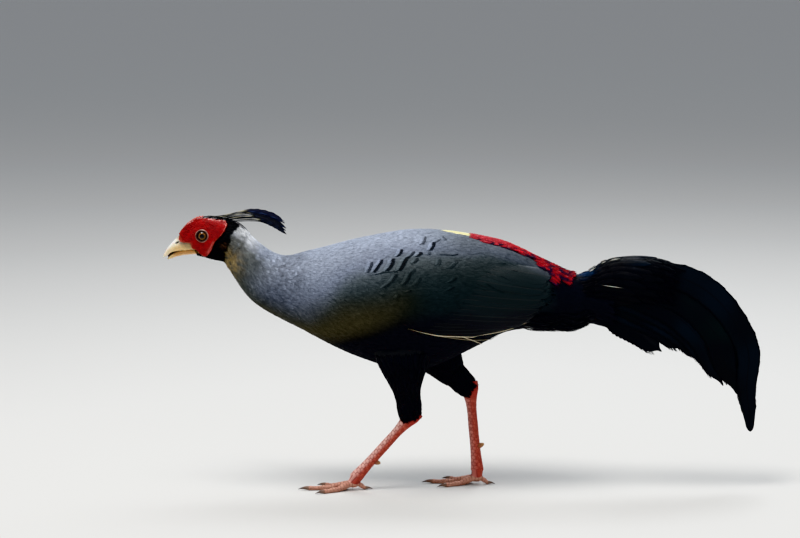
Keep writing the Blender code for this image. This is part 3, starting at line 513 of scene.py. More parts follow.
def fused(name, tubes, voxel, softening):
    """One closed mesh over closed tubes of rings that pass into each other."""
    points = []
    faces = []
    start = 0
    for rings in tubes:
        points += [rings.reshape(-1, 3), rings[0].mean(0)[None], rings[-1].mean(0)[None]]
        for kind in ring_faces(*rings.shape[:2]):
            faces += (kind + start).tolist()
        start += rings.shape[0] * rings.shape[1] + 2
    form = bpy.data.meshes.new(name + "_form")
    form.from_pydata((np.concatenate(points) * MILLIMETRE).tolist(), [], faces)
    helper = bpy.data.objects.new(name + "_form", form)
    bpy.context.scene.collection.objects.link(helper)
    remesh = helper.modifiers.new("remesh", "REMESH")
    remesh.mode = "VOXEL"
    remesh.voxel_size = voxel * MILLIMETRE
    soften = helper.modifiers.new("soften", "SMOOTH")
    soften.factor = 0.5
    soften.iterations = softening
    bpy.context.view_layer.update()
    shown = helper.evaluated_get(bpy.context.evaluated_depsgraph_get())
    made = bpy.data.meshes.new_from_object(shown)
    made.name = name
    bpy.data.objects.remove(helper)
    bpy.data.meshes.remove(form)
    return made


# Feathers

# Radius that turns an angle round a body into mm for the fine markings.
LIE_RADIUS = 45
# Where the rings of a feather are along it, and their widths.
SHAFT_RINGS = (0.25, 0.7, 0.93)
SHAFT_PROFILE = (0.7, 1.0, 0.6)
# Each ring's points across and above the feather, for 4 and for 3 sides.
SECTIONS = {4: ((-1, 0, 1, 0), (0, 1, 0, -0.5)), 3: ((-1, 0, 1), (-0.3, 0.8, -0.3))}


def lay(shape, s, a, length, width, lifts, drift=0.0, rings=SHAFT_RINGS, profile=SHAFT_PROFILE,
        depth=0.18, sides=4, camber=0.1):
    """Closed narrow forms laid on a shape from roots at s, a towards its rear. drift is how
    many mm each turns round the shape. Returns points, places along and across each form,
    places on the shape in mm, and the shape's normals."""
    s, a, length, width, drift = (
        np.broadcast_to(np.asarray(v, float), np.shape(s))[:, None] for v in (s, a, length, width, drift))
    low, high = (np.broadcast_to(np.asarray(v, float), len(s))[:, None] for v in lifts)
    girth = shape.girth(s, a)
    u = np.concatenate([[0], np.repeat(rings, sides), [1]])
    half = np.concatenate([[0], np.repeat(profile, sides), [0]])
    v, h = (np.concatenate([[0], np.tile(values, len(rings)), [0]]) for values in SECTIONS[sides])
    across = drift * u ** 1.4 + half * v * width / 2
    lift = low + (high - low) * u ** 0.8 + h * depth * half + camber * np.abs(h) * half * width / 6
    s_at = s - length * u
    a_at = a + np.degrees(across / girth)
    points, normals = shape.place(s_at, a_at, lift)
    lie = np.stack([s_at, np.radians(a_at) * LIE_RADIUS], -1)
    return points, np.stack([u + 0 * s, v + 0 * s], -1), lie, normals


# How far each root strays from its even place, as a share of the step.
STRAY = 0.42


def scatter(shape, first, last, step_along, step_round, arc=(0, 360)):
    """Places spread evenly over a stretch of a shape. The steps may be functions of s."""
    found = []
    s = first
    row = 0
    while s < last:
        along = step_along(s) if callable(step_along) else step_along
        around = step_round(s) if callable(step_round) else step_round
        angles = np.linspace(*arc, 73)
        girths = shape.girth(s + 0 * angles[1:], angles[1:])
        reach = np.concatenate([[0], np.cumsum(girths * np.radians(angles[1] - angles[0]))])
        count = max(int(reach[-1] / around), 3)
        at = (np.arange(count) + 0.5 * (row % 2) + RANDOM.uniform(-STRAY, STRAY, count)) % count
        a = np.interp(at / count * reach[-1], reach, angles)
        found.append(np.stack([s + RANDOM.uniform(-STRAY, STRAY, count) * along, a], -1))
        s += along
        row += 1
    found = np.concatenate(found)
    return found[:, 0], found[:, 1]


def skin_place(shape, s, a):
    """A root's place on the unwrap of a shape's own surface."""
    return np.stack([(a % 360) / 360, s / shape.length], -1)


SHAFT_FACES = {count: spindle_faces(count, 4) for count in (3, 4)}
BARB_FACES = spindle_faces(2, 3)


def feather_batch(shape, s, a, length, width, lifts, tone, drift=0.0, depth=0.18, paint=None):
    """Contour feathers, a little darker at the root as painted shade where they overlap. tone is a colour, or
    with paint a level.
    """
    points, vane, lie, normals = lay(shape, s, a, length, width, lifts, drift, depth=depth)
    level = np.interp(vane[..., 0], (0.1, 0.7, 1), (0.94, 1.0, 1.03))[..., None]
    tone = tone.reshape(len(s), 1, -1)
    colour = tone if paint is None else tone * paint(lie, points)
    return Batch(points, SHAFT_FACES[3], np.clip(colour * level, 0, 1), vane, skin_place(shape, s, a), lie,
                 normals)


def barb_batch(shape, s, a, count, length, width, feather_length, feather_width, lifts, colour,
               drift=0.0, spread=1.0, depth=0.25, tone_spread=0.1, paint=None, loose=0.35):
    """Fine barbs that leave each feather near its end and run past it."""
    n = len(s)
    lane = (np.arange(count) + 0.5) / count * 2 - 1
    lane = lane[None] + RANDOM.uniform(-0.8, 0.8, (n, count)) / count
    start = RANDOM.uniform(0.25, 0.75, (n, count)) * (1 - 0.3 * lane ** 2)
    grow = RANDOM.uniform(0.75, 1.2, (n, count))

    def each(value):
        return np.repeat(np.broadcast_to(np.asarray(value, float), (n,)), count)

    lane, start, grow = lane.ravel(), start.ravel(), grow.ravel()
    girth = shape.girth(each(s), each(a))
    s_root = each(s) - each(feather_length) * start
    a_root = each(a) + np.degrees((each(drift) * start ** 1.4 + lane * each(feather_width) * 0.42) / girth)
    low, high = (each(v) for v in lifts)
    base = low + (high - low) * start ** 0.8
    tip = low + (high - low) * 1.05 + RANDOM.uniform(-0.1, loose, n * count) + 0.15 * (1 - lane ** 2)
    fan = each(drift) * 0.5 + lane * each(feather_width) * 0.22 * spread
    fan = fan + RANDOM.normal(0, 0.35, n * count)
    points, vane, lie, normals = lay(shape, s_root, a_root, each(length) * grow, each(width),
                                     (base, tip + 0.1), fan, rings=(0.3, 0.72), profile=(1.0, 0.7),
                                     depth=depth, sides=3, camber=0.0)
    colours = np.repeat(colour.reshape(n, -1), count, axis=0)
    colours = colours * (1 + tone_spread * RANDOM.normal(0, 1, n * count))[:, None]
    # barbs a little darker at the root and lighter at the tip, as painted shade
    colours = colours[:, None] * np.interp(vane[..., 0], (0, 1), (0.94, 1.06))[..., None]
    if paint is not None:
        colours = colours * paint(lie, points)
    return Batch(points, BARB_FACES, np.clip(colours, 0, 1), vane, skin_place(shape, s_root, a_root),
                 lie, normals)


# Barbs of each coat: how many on a feather, their share of its length, their width in mm and
# their tone against it.
BODY_BARBS = (4, 0.6, 0.42, 1.02)
HEAD_BARBS = (3, 0.7, 0.3, 1.1)
VENT_BARBS = (6, 0.6, 0.6, 1)
COVERT_BARBS = (6, 0.55, 0.45, 1.3)
THIGH_BARBS = (5, 0.6, 0.5, 1.2)
# Widths in mm of feathers that are all as wide.
VENT_WIDTH = 5.5
COVERT_WIDTH = 4.4
TAIL_ROOT_WIDTH = 4.6
CREST_BASE_WIDTH = 1.1


def coat(shape, s, a, length, width, lifts, tone, drift, barbs, depth=0.18, barb_depth=0.25,
         paint=None, **settings):
    """Contour feathers with their barbs, given as their count on each feather, their share
    of its length, their width and their tone against it."""
    count, share, barb_width, gain = barbs
    return [feather_batch(shape, s, a, length, width, lifts, tone, drift, depth, paint),
            barb_batch(shape, s, a, count, length * share, barb_width, length, width, lifts, tone * gain,
                       drift, depth=barb_depth, paint=paint, **settings)]


def varied(colour, count, spread):
    """A colour for each of a number of feathers, some lighter and some darker."""
    return np.tile(colour, (count, 1)) * (1 + spread * RANDOM.normal(0, 1, count))[:, None]


def ring_grid(first, last, rows, columns):
    """Places s down the rows and a round the columns of a tube."""
    return np.linspace(first, last, rows)[:, None], np.arange(columns)[None] * 360 / columns


# Markings

# Grey from the back down to the side, darker down the side partly as painted shade of the light from above.
GREY_SHARES = (0, 0.42, 0.75, 1)
GREYS = np.array([rgb(148, 156, 172), rgb(124, 132, 149), rgb(86, 94, 99), rgb(60, 67, 69)])
OLIVE = rgb(68, 64, 50)
WING_DARK = rgb(24, 31, 33)
BLUE_BLACK = rgb(7, 8, 16)
# Painted highlight along the top of the nape.
NAPE_HIGHLIGHT = rgb(244, 245, 246)
NECK_STAIN = rgb(170, 148, 106)
# The gold of the lower back, painted as pale as a highlight from the light above.
GOLD_AND_HIGHLIGHT = rgb(244, 236, 176)
RUMP_RED = rgb(190, 24, 34)
RUMP_DEEP = rgb(44, 4, 12)
RUMP_BLUE = rgb(12, 14, 44)
HEAD_BLACK = rgb(9, 10, 12)
EAR_BROWN = rgb(112, 86, 72)
# Where the grey turns to the blue-black of the belly, in side view.
BELLY_LINE = ((-235, -180, -120, -65, 0, 60, 92), (186, 160, 176, 197, 200, 202, 204))
# The lowest red of the rump, and the rear edge of the black hood, in side view.
RED_LINE = ((8, 15, 28, 44, 60, 70, 81, 86, 93, 97, 101, 105, 112, 117, 122),
            (268, 266.4, 262, 257.8, 251.8, 247, 243, 234, 232.5, 217.5, 221, 229, 217, 225, 230))
HOOD_LINE = ((230, 236, 240, 251, 257, 264.5, 271, 275, 279, 283),
             (-246.5, -247.5, -248.5, -247.5, -245, -242, -241.5, -237.5, -232, -230))


def side_angle(a):
    return np.abs((a + 180) % 360 - 180)


def body_colour(s, a, points):
    """Colour of the plumage at places s, a that are seen at points."""
    x = points[..., 0]
    z = points[..., 2]
    side = side_angle(a)
    broad = noise(points, (26, 26, 26), 5)
    front = ease(-100, -182, x)
    on_wing = ease(-100, -60, x) * ease(110, 60, x)
    # share: from the grey of the back to the dark grey of the side, partly the plumage's own tone and partly
    # painted shade
    share = ease(20 + 10 * front, 84 + 130 * front - 19 * on_wing, side + 5 * broad)
    colour = np.stack([np.interp(share, GREY_SHARES, GREYS[:, k]) for k in range(3)], -1)
    rear = 0.63 * ease(-62, 15, x) + 0.19 * ease(30, 85, x)
    mottle = noise(points, (3.2, 2.2, 2.2), 31)
    neck = np.exp(-((s - NECK_S - 24) / 22) ** 2)
    dim = rear * (1 - 0.25 * share) + 0.32 * neck * (1 - 0.5 * mottle)
    colour = mix(colour, colour * (0.96, 1.01, 0.97), rear)
    colour = colour * ((1 + 0.05 * broad) * (1 - dim))[..., None]
    below = np.interp(x, *BELLY_LINE) - z + 6 * broad
    # olive to dark grey over the belly line, partly painted shade on the lower side
    deep = mix(OLIVE, WING_DARK, ease(-115, -25, x))
    colour = mix(colour, deep, ease(-44, -4, below))
    colour = mix(colour, BLUE_BLACK, ease(-4, 20, below))
    # painted highlight on the top of the nape
    nape = ease(NAPE_S - 34, NAPE_S - 2, s) * ease(100, 30, side)
    colour = mix(colour, NAPE_HIGHLIGHT, 0.85 * nape)
    throat = ease(HEAD_S - 54, HEAD_S - 10, s) * ease(30, 74, side + 16 * mottle)
    colour = mix(colour, rgb(90, 93, 88), 0.85 * throat)
    stain = np.exp(-((x + 244) / 12) ** 2 - ((z - 241) / 15) ** 2)
    colour = mix(colour, NECK_STAIN, np.clip(0.75 * stain * (1 + 1.1 * mottle), 0, 1))
    ragged = np.interp(z, *HOOD_LINE) - x + 1.1 * noise(points, (2, 2, 2), 8)
    colour = mix(colour, HEAD_BLACK, ease(-0.5, 0.6, ragged))
    ear = np.exp(-((x + 249.5) / 2.6) ** 2 - ((z - 260.5) / 3.2) ** 2) * (ragged > 0.6)
    colour = mix(colour, EAR_BROWN, ear * ease(-0.1, 0.5, noise(points, (1.4, 1.4, 1.4), 77)))
    # gold patch of the lower back, partly its own gold and partly a painted highlight
    gold_edge = 4.5 + 5 * ease(-24, 4, x) + 1.6 * mottle
    gold = ease(-23, -15, x + 4 * mottle) * ease(17, 13, x) * ease(1.5, -1.5, side - gold_edge)
    colour = mix(colour, GOLD_AND_HIGHLIGHT, gold)
    tail_side = ease(91, 97, x + 1.5 * broad)
    colour = mix(colour, BLUE_BLACK, tail_side)
    glow = ease(110, 117, x) * ease(26, 12, side)
    colour = mix(colour, rgb(10, 52, 96), 0.6 * glow)
    red = on_rump(x, z, side)
    return np.clip(mix(colour, RUMP_DEEP * (1 + 0.3 * broad)[..., None], red), 0, 1)


# The angle from the back at which the grey coat reads where the rump's red begins.
RUMP_TOP_SIDE = 5


def on_rump(x, z, side):
    """1 where the rump is red: behind a round front edge and over a line seen from the side."""
    reach = ease(6, 10, x - 0.005 * side ** 2 * ease(36, 10, x)) * ease(122, 118, x)
    return reach * ease(-1.5, 1.5, z - np.interp(x, *RED_LINE))


def coat_colour(lie, points):
    return body_colour(lie[..., 0], np.degrees(lie[..., 1] / LIE_RADIUS), points)


def near_face(x, z, margin):
    """Whether a place seen at x, z is on the red skin, less a margin."""
    dx = x - EYE[0]
    dz = z - EYE[1]
    return np.hypot(dx, dz) < face_reach(np.arctan2(dz, dx)) - margin


def face_reach(angles):
    """How far the edge of the red skin is from the eye, at each angle in radians."""
    edge = np.array(FACE_EDGE) - np.array(EYE)
    turn = np.arctan2(edge[:, 1], edge[:, 0])
    order = np.argsort(turn)
    turn = turn[order]
    reach = np.linalg.norm(edge, axis=1)[order]
    turn = np.concatenate([turn - 2 * math.pi, turn, turn + 2 * math.pi])
    return smooth_curve(turn, np.tile(reach, 3), angles)


WING_RISE = 6.0


def wing_lift(x, z, open_rear=False):
    """How far the closed wing stands out from the trunk at x, z in side view."""
    low = np.interp(x, WING_EDGE_X, WING_LOW_Z)
    high = np.interp(x, WING_EDGE_X, WING_TOP_Z) + 6
    soft = 18 - 13 * ease(-70, -20, x)
    rise = ease(-132, -50, x) * ease(0, 30, high - z) * ease(0, 1, (z - low + 2) / soft)
    rise = rise * (1 - 0.4 * ease(20, 95, x))
    if not open_rear:
        rise = rise * ease(95, 89, x)
    return WING_RISE * rise


class Raised(Shape):
    """The body with the closed wings on it."""
    length = BODY.length
    rear_way = BODY.rear_way
    out = BODY.out

    def oval(self, s, a):
        at = BODY.point(s, np.degrees(a))
        return BODY.point(s, np.degrees(a), wing_lift(at[..., 0], at[..., 2]))


SURFACE = Raised()


COAT_DEPTH = 1.4


def coat_step(s):
    return np.interp(s, (0, RUMP_S, NECK_S - 40, NECK_S + 20, HEAD_S, NAPE_S + 4),
                     (3.8, 3.9, 3.6, 3.0, 2.4, 1.9))


def body_coat():
    """Feathers of the neck, trunk and wings, in pieces by side and stretch."""
    s, a = scatter(BODY, 1.5, NAPE_S + 3, lambda v: coat_step(v) * 0.95, coat_step)
    points = BODY.point(s, a, 0)
    x, z = points[:, 0], points[:, 2]
    keep = on_rump(x, z, RUMP_TOP_SIDE) < 0.5
    s, a, x, z = s[keep], a[keep], x[keep], z[keep]
    side = side_angle(a)
    on_wing = wing_lift(x, z) > 0.4
    spacing = coat_step(s)
    length = spacing * (4.2 + 1.6 * on_wing * ease(-30, 50, x))
    width = spacing * (1.9 + 0.4 * on_wing * ease(-30, 50, x))
    drift = np.sign((a + 180) % 360 - 180) * np.sin(np.radians(side)) * length * 0.16
    drift = drift * ease(HEAD_S, NECK_S, s) + RANDOM.normal(0, 0.5, len(s))
    tone = 1 + (0.045 + 0.13 * ease(NECK_S, NECK_S + 30, s)) * RANDOM.normal(0, 1, len(s)).clip(-2.5, 2.5)
    lift = 0.15 + RANDOM.uniform(-0.1, 0.15, len(s))
    pieces = {}
    stretches = [("rear", 0, RUMP_S + 45), ("middle", RUMP_S + 45, NECK_S - 44),
                 ("breast", NECK_S - 44, NECK_S + 26), ("neck", NECK_S + 26, 1e9)]
    for name, first, last in stretches + [("wing", -1e9, 1e9)]:
        for hand, pick in (("left", a % 360 < 180), ("right", a % 360 >= 180)):
            take = pick & (s >= first) & (s < last) & (on_wing == (name == "wing"))
            given = [v[take] for v in (s, a, length, width)]
            pieces[f"coat_{name}_{hand}"] = coat(
                SURFACE, *given, (-COAT_DEPTH, lift[take]), tone[take], drift[take], BODY_BARBS,
                paint=coat_colour, tone_spread=0.08, loose=0.12)
    return pieces


# Cell of the remesh in mm and rounds of smoothing, for the skin and for the legs.
SKIN_FUSION = (2.1, 6)
LEG_FUSION = (0.52, 4)
# Rows along and columns round the trunk and each thigh.
TRUNK_GRID = (150, 96)
THIGH_GRID = (60, 48)
THIGH_DEPTH = 1.0


def skin():
    """One closed skin under the plumage, from the rump to the root of the bill."""
    tubes = [BODY.point(*ring_grid(0.0, BODY.length, *TRUNK_GRID), -COAT_DEPTH)]
    tubes += [limb.point(*ring_grid(0.5, limb.length, *THIGH_GRID), -THIGH_DEPTH) for limb in THIGHS.values()]
    made = fused("plumage_skin", tubes, *SKIN_FUSION)
    place = vertex_values(made, "co") / MILLIMETRE
    colour = body_colour(*BODY.locate(place[:, 0], place[:, 2]), place)
    # the plumage's own colour, darker as painted shade under the feathers
    colour_mesh(made, colour * (0.45 + 0.35 * ease(0.01, 0.06, colour.mean(-1)))[:, None])
    return made


# Materials


def node_maker(material):
    material.use_nodes = True
    tree = material.node_tree

    def add(kind, values=None, **settings):
        made = tree.nodes.new("ShaderNode" + kind)
        for key, value in settings.items():
            setattr(made, key, value)
        for key, value in (values or {}).items():
            made.inputs[key].default_value = value
        return made

    def join(source, output, target, entry):
        tree.links.new(source.outputs[output], target.inputs[entry])

    return tree.nodes["Principled BSDF"], add, join


def new_material(name, roughness=0.6, **constants):
    """A material with its shader and the two helpers that add and join nodes."""
    made = bpy.data.materials.new(name)
    shader, add, join = node_maker(made)
    shader.inputs["Roughness"].default_value = roughness
    for key, value in constants.items():
        shader.inputs[key.replace("_", " ")].default_value = value
    return made, shader, add, join


def set_bump(add, join, shader, source, output, strength, distance):
    bump = add("Bump", {"Strength": strength, "Distance": distance * MILLIMETRE})
    join(source, output, bump, "Height")
    join(bump, "Normal", shader, "Normal")


def tinted_noise(add, join, size, amount):
    """The tint attribute made a little lighter and darker by noise of a size in mm."""
    tint = add("Attribute", attribute_name="tint")
    place = add("TexCoord")
    grain = add("TexNoise", {"Scale": 1 / (size * MILLIMETRE), "Detail": 4.0})
    join(place, "Object", grain, "Vector")
    level = add("MapRange", {"From Min": 0.25, "From Max": 0.75, "To Min": 1 - amount, "To Max": 1 + amount})
    join(grain, "Fac", level, "Value")
    product = add("VectorMath", operation="MULTIPLY")
    join(tint, "Color", product, 0)
    join(level, "Result", product, 1)
    return product, grain


def plumage_material(name, roughness, sheen, streak, size=(7.0, 0.9), relief=0.3, **constants):
    """Soft feather: tint, fine streaks along the body and barb relief."""
    made, shader, add, join = new_material(name, roughness, Sheen_Weight=sheen, Sheen_Roughness=0.4,
                                           **constants)
    product = tinted_noise(add, join, 1.3, 0.10)[0]
    place = add("UVMap", uv_map="lie")
    stretch = add("VectorMath", operation="MULTIPLY")
    stretch.inputs[1].default_value = (1 / size[0], 1 / size[1], 1.0)
    join(place, "UV", stretch, 0)
    lines = add("TexNoise", {"Scale": 1.0, "Detail": 3.0, "Roughness": 0.6}, noise_dimensions="2D")
    join(stretch, 0, lines, "Vector")
    level = add("MapRange", {"From Min": 0.3, "From Max": 0.7, "To Min": 1 - streak, "To Max": 1 + streak})
    join(lines, "Fac", level, "Value")
    colour = add("VectorMath", operation="MULTIPLY")
    join(product, 0, colour, 0)
    join(level, "Result", colour, 1)
    join(colour, 0, shader, "Base Color")
    set_bump(add, join, shader, lines, "Fac", relief, 0.35)
    return made


def vane_material(name, roughness, shaft, edge, edge_amount, **constants):
    """A flight feather: pale shaft, barbs in relief, and an edge of another tone."""
    made, shader, add, join = new_material(name, roughness, **constants)
    product = tinted_noise(add, join, 2.2, 0.14)[0]
    place = add("UVMap", uv_map="vane")
    split = add("SeparateXYZ")
    join(place, "UV", split, "Vector")
    away = add("Math", operation="ABSOLUTE")
    join(split, "Y", away, 0)
    rim = add("MapRange", {"From Min": 0.80, "From Max": 0.97, "To Min": 0.0, "To Max": edge_amount},
              interpolation_type="SMOOTHSTEP")
    join(away, "Value", rim, "Value")
    edged = add("Mix", data_type="RGBA")
    edged.inputs[7].default_value = (*edge, 1)
    join(product, 0, edged, 6)
    join(rim, "Result", edged, 0)
    near = add("MapRange", {"From Min": 0.02, "From Max": 0.075, "To Min": 0.85, "To Max": 0.0},
               interpolation_type="SMOOTHSTEP")
    join(away, "Value", near, "Value")
    shafted = add("Mix", data_type="RGBA")
    join(edged, 2, shafted, 6)
    shafted.inputs[7].default_value = (*shaft, 1)
    join(near, "Result", shafted, 0)
    join(shafted, 2, shader, "Base Color")
    slant = add("Math", {1: 0.11}, operation="MULTIPLY")
    join(away, "Value", slant, 0)
    run = add("Math", operation="SUBTRACT")
    join(split, "X", run, 0)
    join(slant, "Value", run, 1)
    thread = add("Math", {1: 900.0}, operation="MULTIPLY")
    join(run, "Value", thread, 0)
    ripple = add("Math", operation="SINE")
    join(thread, "Value", ripple, 0)
    set_bump(add, join, shader, ripple, "Value", 0.3, 0.15)
    return made


def make_materials():
    return {
        "grey": plumage_material("grey_plumage", 0.6, 0.05, 0.24, (6.0, 0.8), 0.2, Specular_IOR_Level=0.2),
        "black": plumage_material("black_plumage", 0.5, 0.03, 0.3, (9.0, 0.8), Specular_IOR_Level=0.18),
        "red": plumage_material("rump_plumage", 0.5, 0.05, 0.25, (9.0, 0.6), Specular_IOR_Level=0.3),
        "wing": vane_material("wing_feather", 0.5, rgb(52, 54, 54), rgb(84, 92, 96), 0.18,
                              Specular_IOR_Level=0.25),
        "bars": plumage_material("wing_bars", 0.6, 0.0, 0.2, Specular_IOR_Level=0.15),
        "tail": vane_material("tail_feather", 0.45, rgb(6, 6, 9), rgb(4, 8, 14), 0.4,
                              Specular_IOR_Level=0.16, Coat_Weight=0.03, Coat_Roughness=0.3,
                              Coat_Tint=(0.45, 0.75, 1.0, 1)),
        "crest": vane_material("crest_feather", 0.4, rgb(70, 70, 70), rgb(10, 14, 40), 0.4,
                               Specular_IOR_Level=0.35),
        "skin": grained_material("plumage_skin", 0.75, 1.2, 0.3, (0.6, 0.6)),
        "face": grained_material("facial_skin", 0.5, 0.7, 0.12, (0.25, 0.15), Subsurface_Weight=0.2,
                                 Subsurface_Scale=0.001, Subsurface_Radius=(1.0, 0.25, 0.15),
                                 Specular_IOR_Level=0.25),
        "lid": scaly_material("eyelid_skin", 0.45, 0.5, 0.12, 0.3),
        "eye": grained_material("eye", 0.2, 0.35, 0.18, Coat_Weight=0.35, Coat_Roughness=0.03,
                                Specular_IOR_Level=0.3),
        "bill": horn_material("bill_horn", 0.36),
        "claw": horn_material("claw_horn", 0.45),
        "leg": scaly_material("leg_scales", 0.5, 0.35, 0.1, 0.5),
    }


def grained_material(name, roughness, size, amount, relief=None, **constants):
    """The tint with noise of a size in mm, which a strength and a depth in mm can raise."""
    made, shader, add, join = new_material(name, roughness, **constants)
    product, grain = tinted_noise(add, join, size, amount)
    join(product, 0, shader, "Base Color")
    if relief:
        set_bump(add, join, shader, grain, "Fac", *relief)
    return made


def scaly_material(name, roughness, size, amount, strength):
    """The tint with noise, and fine plates of a size in mm in relief."""
    made, shader, add, join = new_material(name, roughness)
    join(tinted_noise(add, join, size * 2, amount)[0], 0, shader, "Base Color")
    fine = add("TexVoronoi", {"Scale": 1 / (size * MILLIMETRE)}, feature="DISTANCE_TO_EDGE")
    place = add("TexCoord")
    join(place, "Object", fine, "Vector")
    set_bump(add, join, shader, fine, "Distance", strength, 0.12)
    return made


def horn_material(name, roughness):
    """Horn with fine streaks along its growth."""
    made, shader, add, join = new_material(name, roughness, Coat_Weight=0.2, Coat_Roughness=0.25,
                                           Subsurface_Weight=0.1, Subsurface_Scale=0.001)
    tint = add("Attribute", attribute_name="tint")
    place = add("UVMap", uv_map="vane")
    stretch = add("VectorMath", operation="MULTIPLY")
    stretch.inputs[1].default_value = (7.0, 60.0, 1.0)
    join(place, "UV", stretch, 0)
    grain = add("TexNoise", {"Scale": 1.0, "Detail": 6.0})
    join(stretch, 0, grain, "Vector")
    level = add("MapRange", {"From Min": 0.3, "From Max": 0.7, "To Min": 0.82, "To Max": 1.1})
    join(grain, "Fac", level, "Value")
    product = add("VectorMath", operation="MULTIPLY")
    join(tint, "Color", product, 0)
    join(level, "Result", product, 1)
    join(product, 0, shader, "Base Color")
    set_bump(add, join, shader, grain, "Fac", 0.25, 0.12)
    return made


# Head


def eye_centre():
    """The middle of the left eyeball."""
    s, a = BODY.locate(*EYE)
    return np.array((EYE[0], EYE_INSET - abs(BODY.point(s, a)[1]), EYE[1]))


def face_place(x, z, lift, floor, hanging):
    """A place of the left face over x, z in side view, clear of the skull below it."""
    s, a = BODY.locate(x, z)
    at = BODY.point(s, a, lift)
    clear = np.interp(z, *SKULL_HALF_WIDTH) + floor
    at[..., 1] = np.minimum(at[..., 1], -clear)
    beyond = np.stack([x, at[..., 1], z], -1)
    free = np.maximum(hanging, (s > BODY.length - 0.05) * ease(269.5, 266.5, z))
    return at * (1 - free[..., None]) + beyond * free[..., None]


LID_INNER = 4.5
LID_OUTER = 6.9
FACE_TURNS = 300
FACE_STEPS = 74


def face_red(side):
    """Warty red skin of the left side, its lobe hanging below, with a raised pale rim and a painted highlight
    along its upper edge.
    """
    angles = np.arange(FACE_TURNS) * math.tau / FACE_TURNS
    reach = face_reach(angles)
    reach = reach + 0.35 * np.sin(angles * 37) * ease(0, 0.3, np.sin(angles + 0.4)) + \
        0.16 * np.sin(angles * 61 + 1) + 3.6 * np.exp(-((np.degrees(angles) - 231) / 13) ** 2)
    f = np.linspace(0, 1, FACE_STEPS)[:, None] ** 0.9
    radius = LID_OUTER - 0.9 + (reach - LID_OUTER + 0.9) * f
    x = EYE[0] + radius * np.cos(angles)
    z = EYE[1] + radius * np.sin(angles)
    hanging = np.clip(-np.sin(angles) - 0.35, 0, 1) * (f > 0.25)
    crease = 0.12 * np.sin(radius * 1.25 + 1.4 * np.sin(angles * 2.0))
    crease = crease * ease(0.08, 0.3, f) * ease(1, 0.8, f)
    wart, gap, label = plates(x / 1.25, z / 1.25, 0.75, 11)
    papilla = 0.5 * (1 - np.clip(wart / 0.62, 0, 1) ** 2) * (0.6 + 0.8 * label)
    small, _, small_label = plates(x / 0.62 + 3, z / 0.62, 0.8, 19)
    papilla = papilla + 0.14 * (1 - np.clip(small / 0.6, 0, 1) ** 2) * small_label
    papilla = papilla * ease(0.0, 0.12, f) * ease(1.0, 0.93, f)
    rim = np.exp(-((f - 0.965) / 0.022) ** 2)
    plump = 1.5 + 0.8 * np.exp(-((f - 0.7) / 0.2) ** 2) + 1.2 * hanging * np.sin(np.pi * np.clip(f, 0, 1))
    height = plump + crease + papilla + 0.35 * rim - 1.1 * ease(0.97, 1.0, f)
    top = face_place(x, z, height, height, hanging > 0)
    under = face_place(x, z, 0.35 + 0 * height, 0 * height + 0.1, hanging > 0)
    flat = np.stack([x, z, 0 * x], -1)
    red = mix(rgb(154, 4, 7), rgb(192, 15, 16), 0.5 + 0.5 * noise(flat, (3, 3, 3), 4))
    # painted shade in the gaps between the warts
    red = mix(red * 0.42, red, ease(0.0, 0.32, gap))
    # painted highlight on the tops of the warts
    red = mix(red, rgb(232, 62, 52), 0.4 * ease(0.22, 0.0, wart) * label)
    dark = np.exp(-((x + 257) / 7) ** 2 - ((z - 273) / 6) ** 2)
    red = mix(red, rgb(112, 0, 4), 0.6 * dark)
    # painted highlight along the upper rim
    upper_rim_highlight = ease(0.1, 0.5, np.sin(angles)) * np.exp(-((f - 0.93) / 0.05) ** 2)
    pale = np.clip(0.25 + 0.75 * noise(flat, (0.9, 0.9, 3), 14), 0, 1)
    red = mix(red, rgb(250, 196, 190), 0.95 * upper_rim_highlight * pale)
    turn = np.degrees(angles)
    rear_low = ease(276, 292, turn) * ease(346, 326, turn) * np.exp(-((f - 0.84) / 0.13) ** 2)
    red = mix(red, rgb(222, 122, 116), 0.6 * rear_low)
    front_low = np.exp(-((turn - 205) / 22) ** 2) * np.exp(-((f - 0.9) / 0.1) ** 2)
    red = mix(red, rgb(206, 110, 96), 0.6 * front_low)
    red = mix(red, rgb(236, 140, 126), 0.6 * rim * (0.6 + 0.4 * np.sin(angles * 23)))
    red = mix(red, rgb(140, 6, 12), ease(0.1, 0.0, f))
    rows = np.concatenate([top, under[::-1]])
    # the underside painted darker as shade
    colours = np.concatenate([red, red[::-1] * 0.6])
    vane = np.stack([np.concatenate([f, f[::-1]]) + 0 * rows[..., 0], 0 * rows[..., 0]], -1)
    return surface_batch(rows, torus_faces(len(rows), FACE_TURNS), colours, vane, side)


def lid(side):
    """The bare pale ring of the lids, with a fine crease and a dark inner edge."""
    turns = 120
    sections = 16
    angles = np.arange(turns) * math.tau / turns
    b = np.arange(sections)[:, None] * math.tau / sections
    middle = (LID_INNER + LID_OUTER) / 2
    half = (LID_OUTER - LID_INNER) / 2
    corner = 0.35 * np.abs(np.cos(angles)) ** 6
    radius = middle + corner + half * np.cos(b) * (1 + 0.05 * np.sin(angles * 24))
    x = EYE[0] + radius * np.cos(angles)
    z = EYE[1] + radius * np.sin(angles) * 0.985
    height = 1.95 + 0.75 * np.sin(b) - 0.5 * np.cos(b) + 0.06 * np.sin(angles * 31 + 3 * b)
    grid = face_place(x, z, height, -9 + 0 * height, np.zeros(height.shape, bool))
    inner = ease(0.25, -0.15, np.cos(b)) + 0 * angles
    pale = rgb(178, 128, 116) * (0.8 + 0.25 * np.sin(angles * 5 + 1))[None, :, None]
    colours = mix(pale + 0 * grid, rgb(34, 14, 11), inner)
    colours = mix(colours, rgb(150, 24, 20), ease(0.62, 0.95, np.cos(b) + 0 * angles))
    vane = np.stack([angles + 0 * b, b + 0 * angles], -1) / math.tau
    return surface_batch(grid, torus_faces(sections, turns), colours, vane, side)


PUPIL = 2.35
IRIS = 4.2


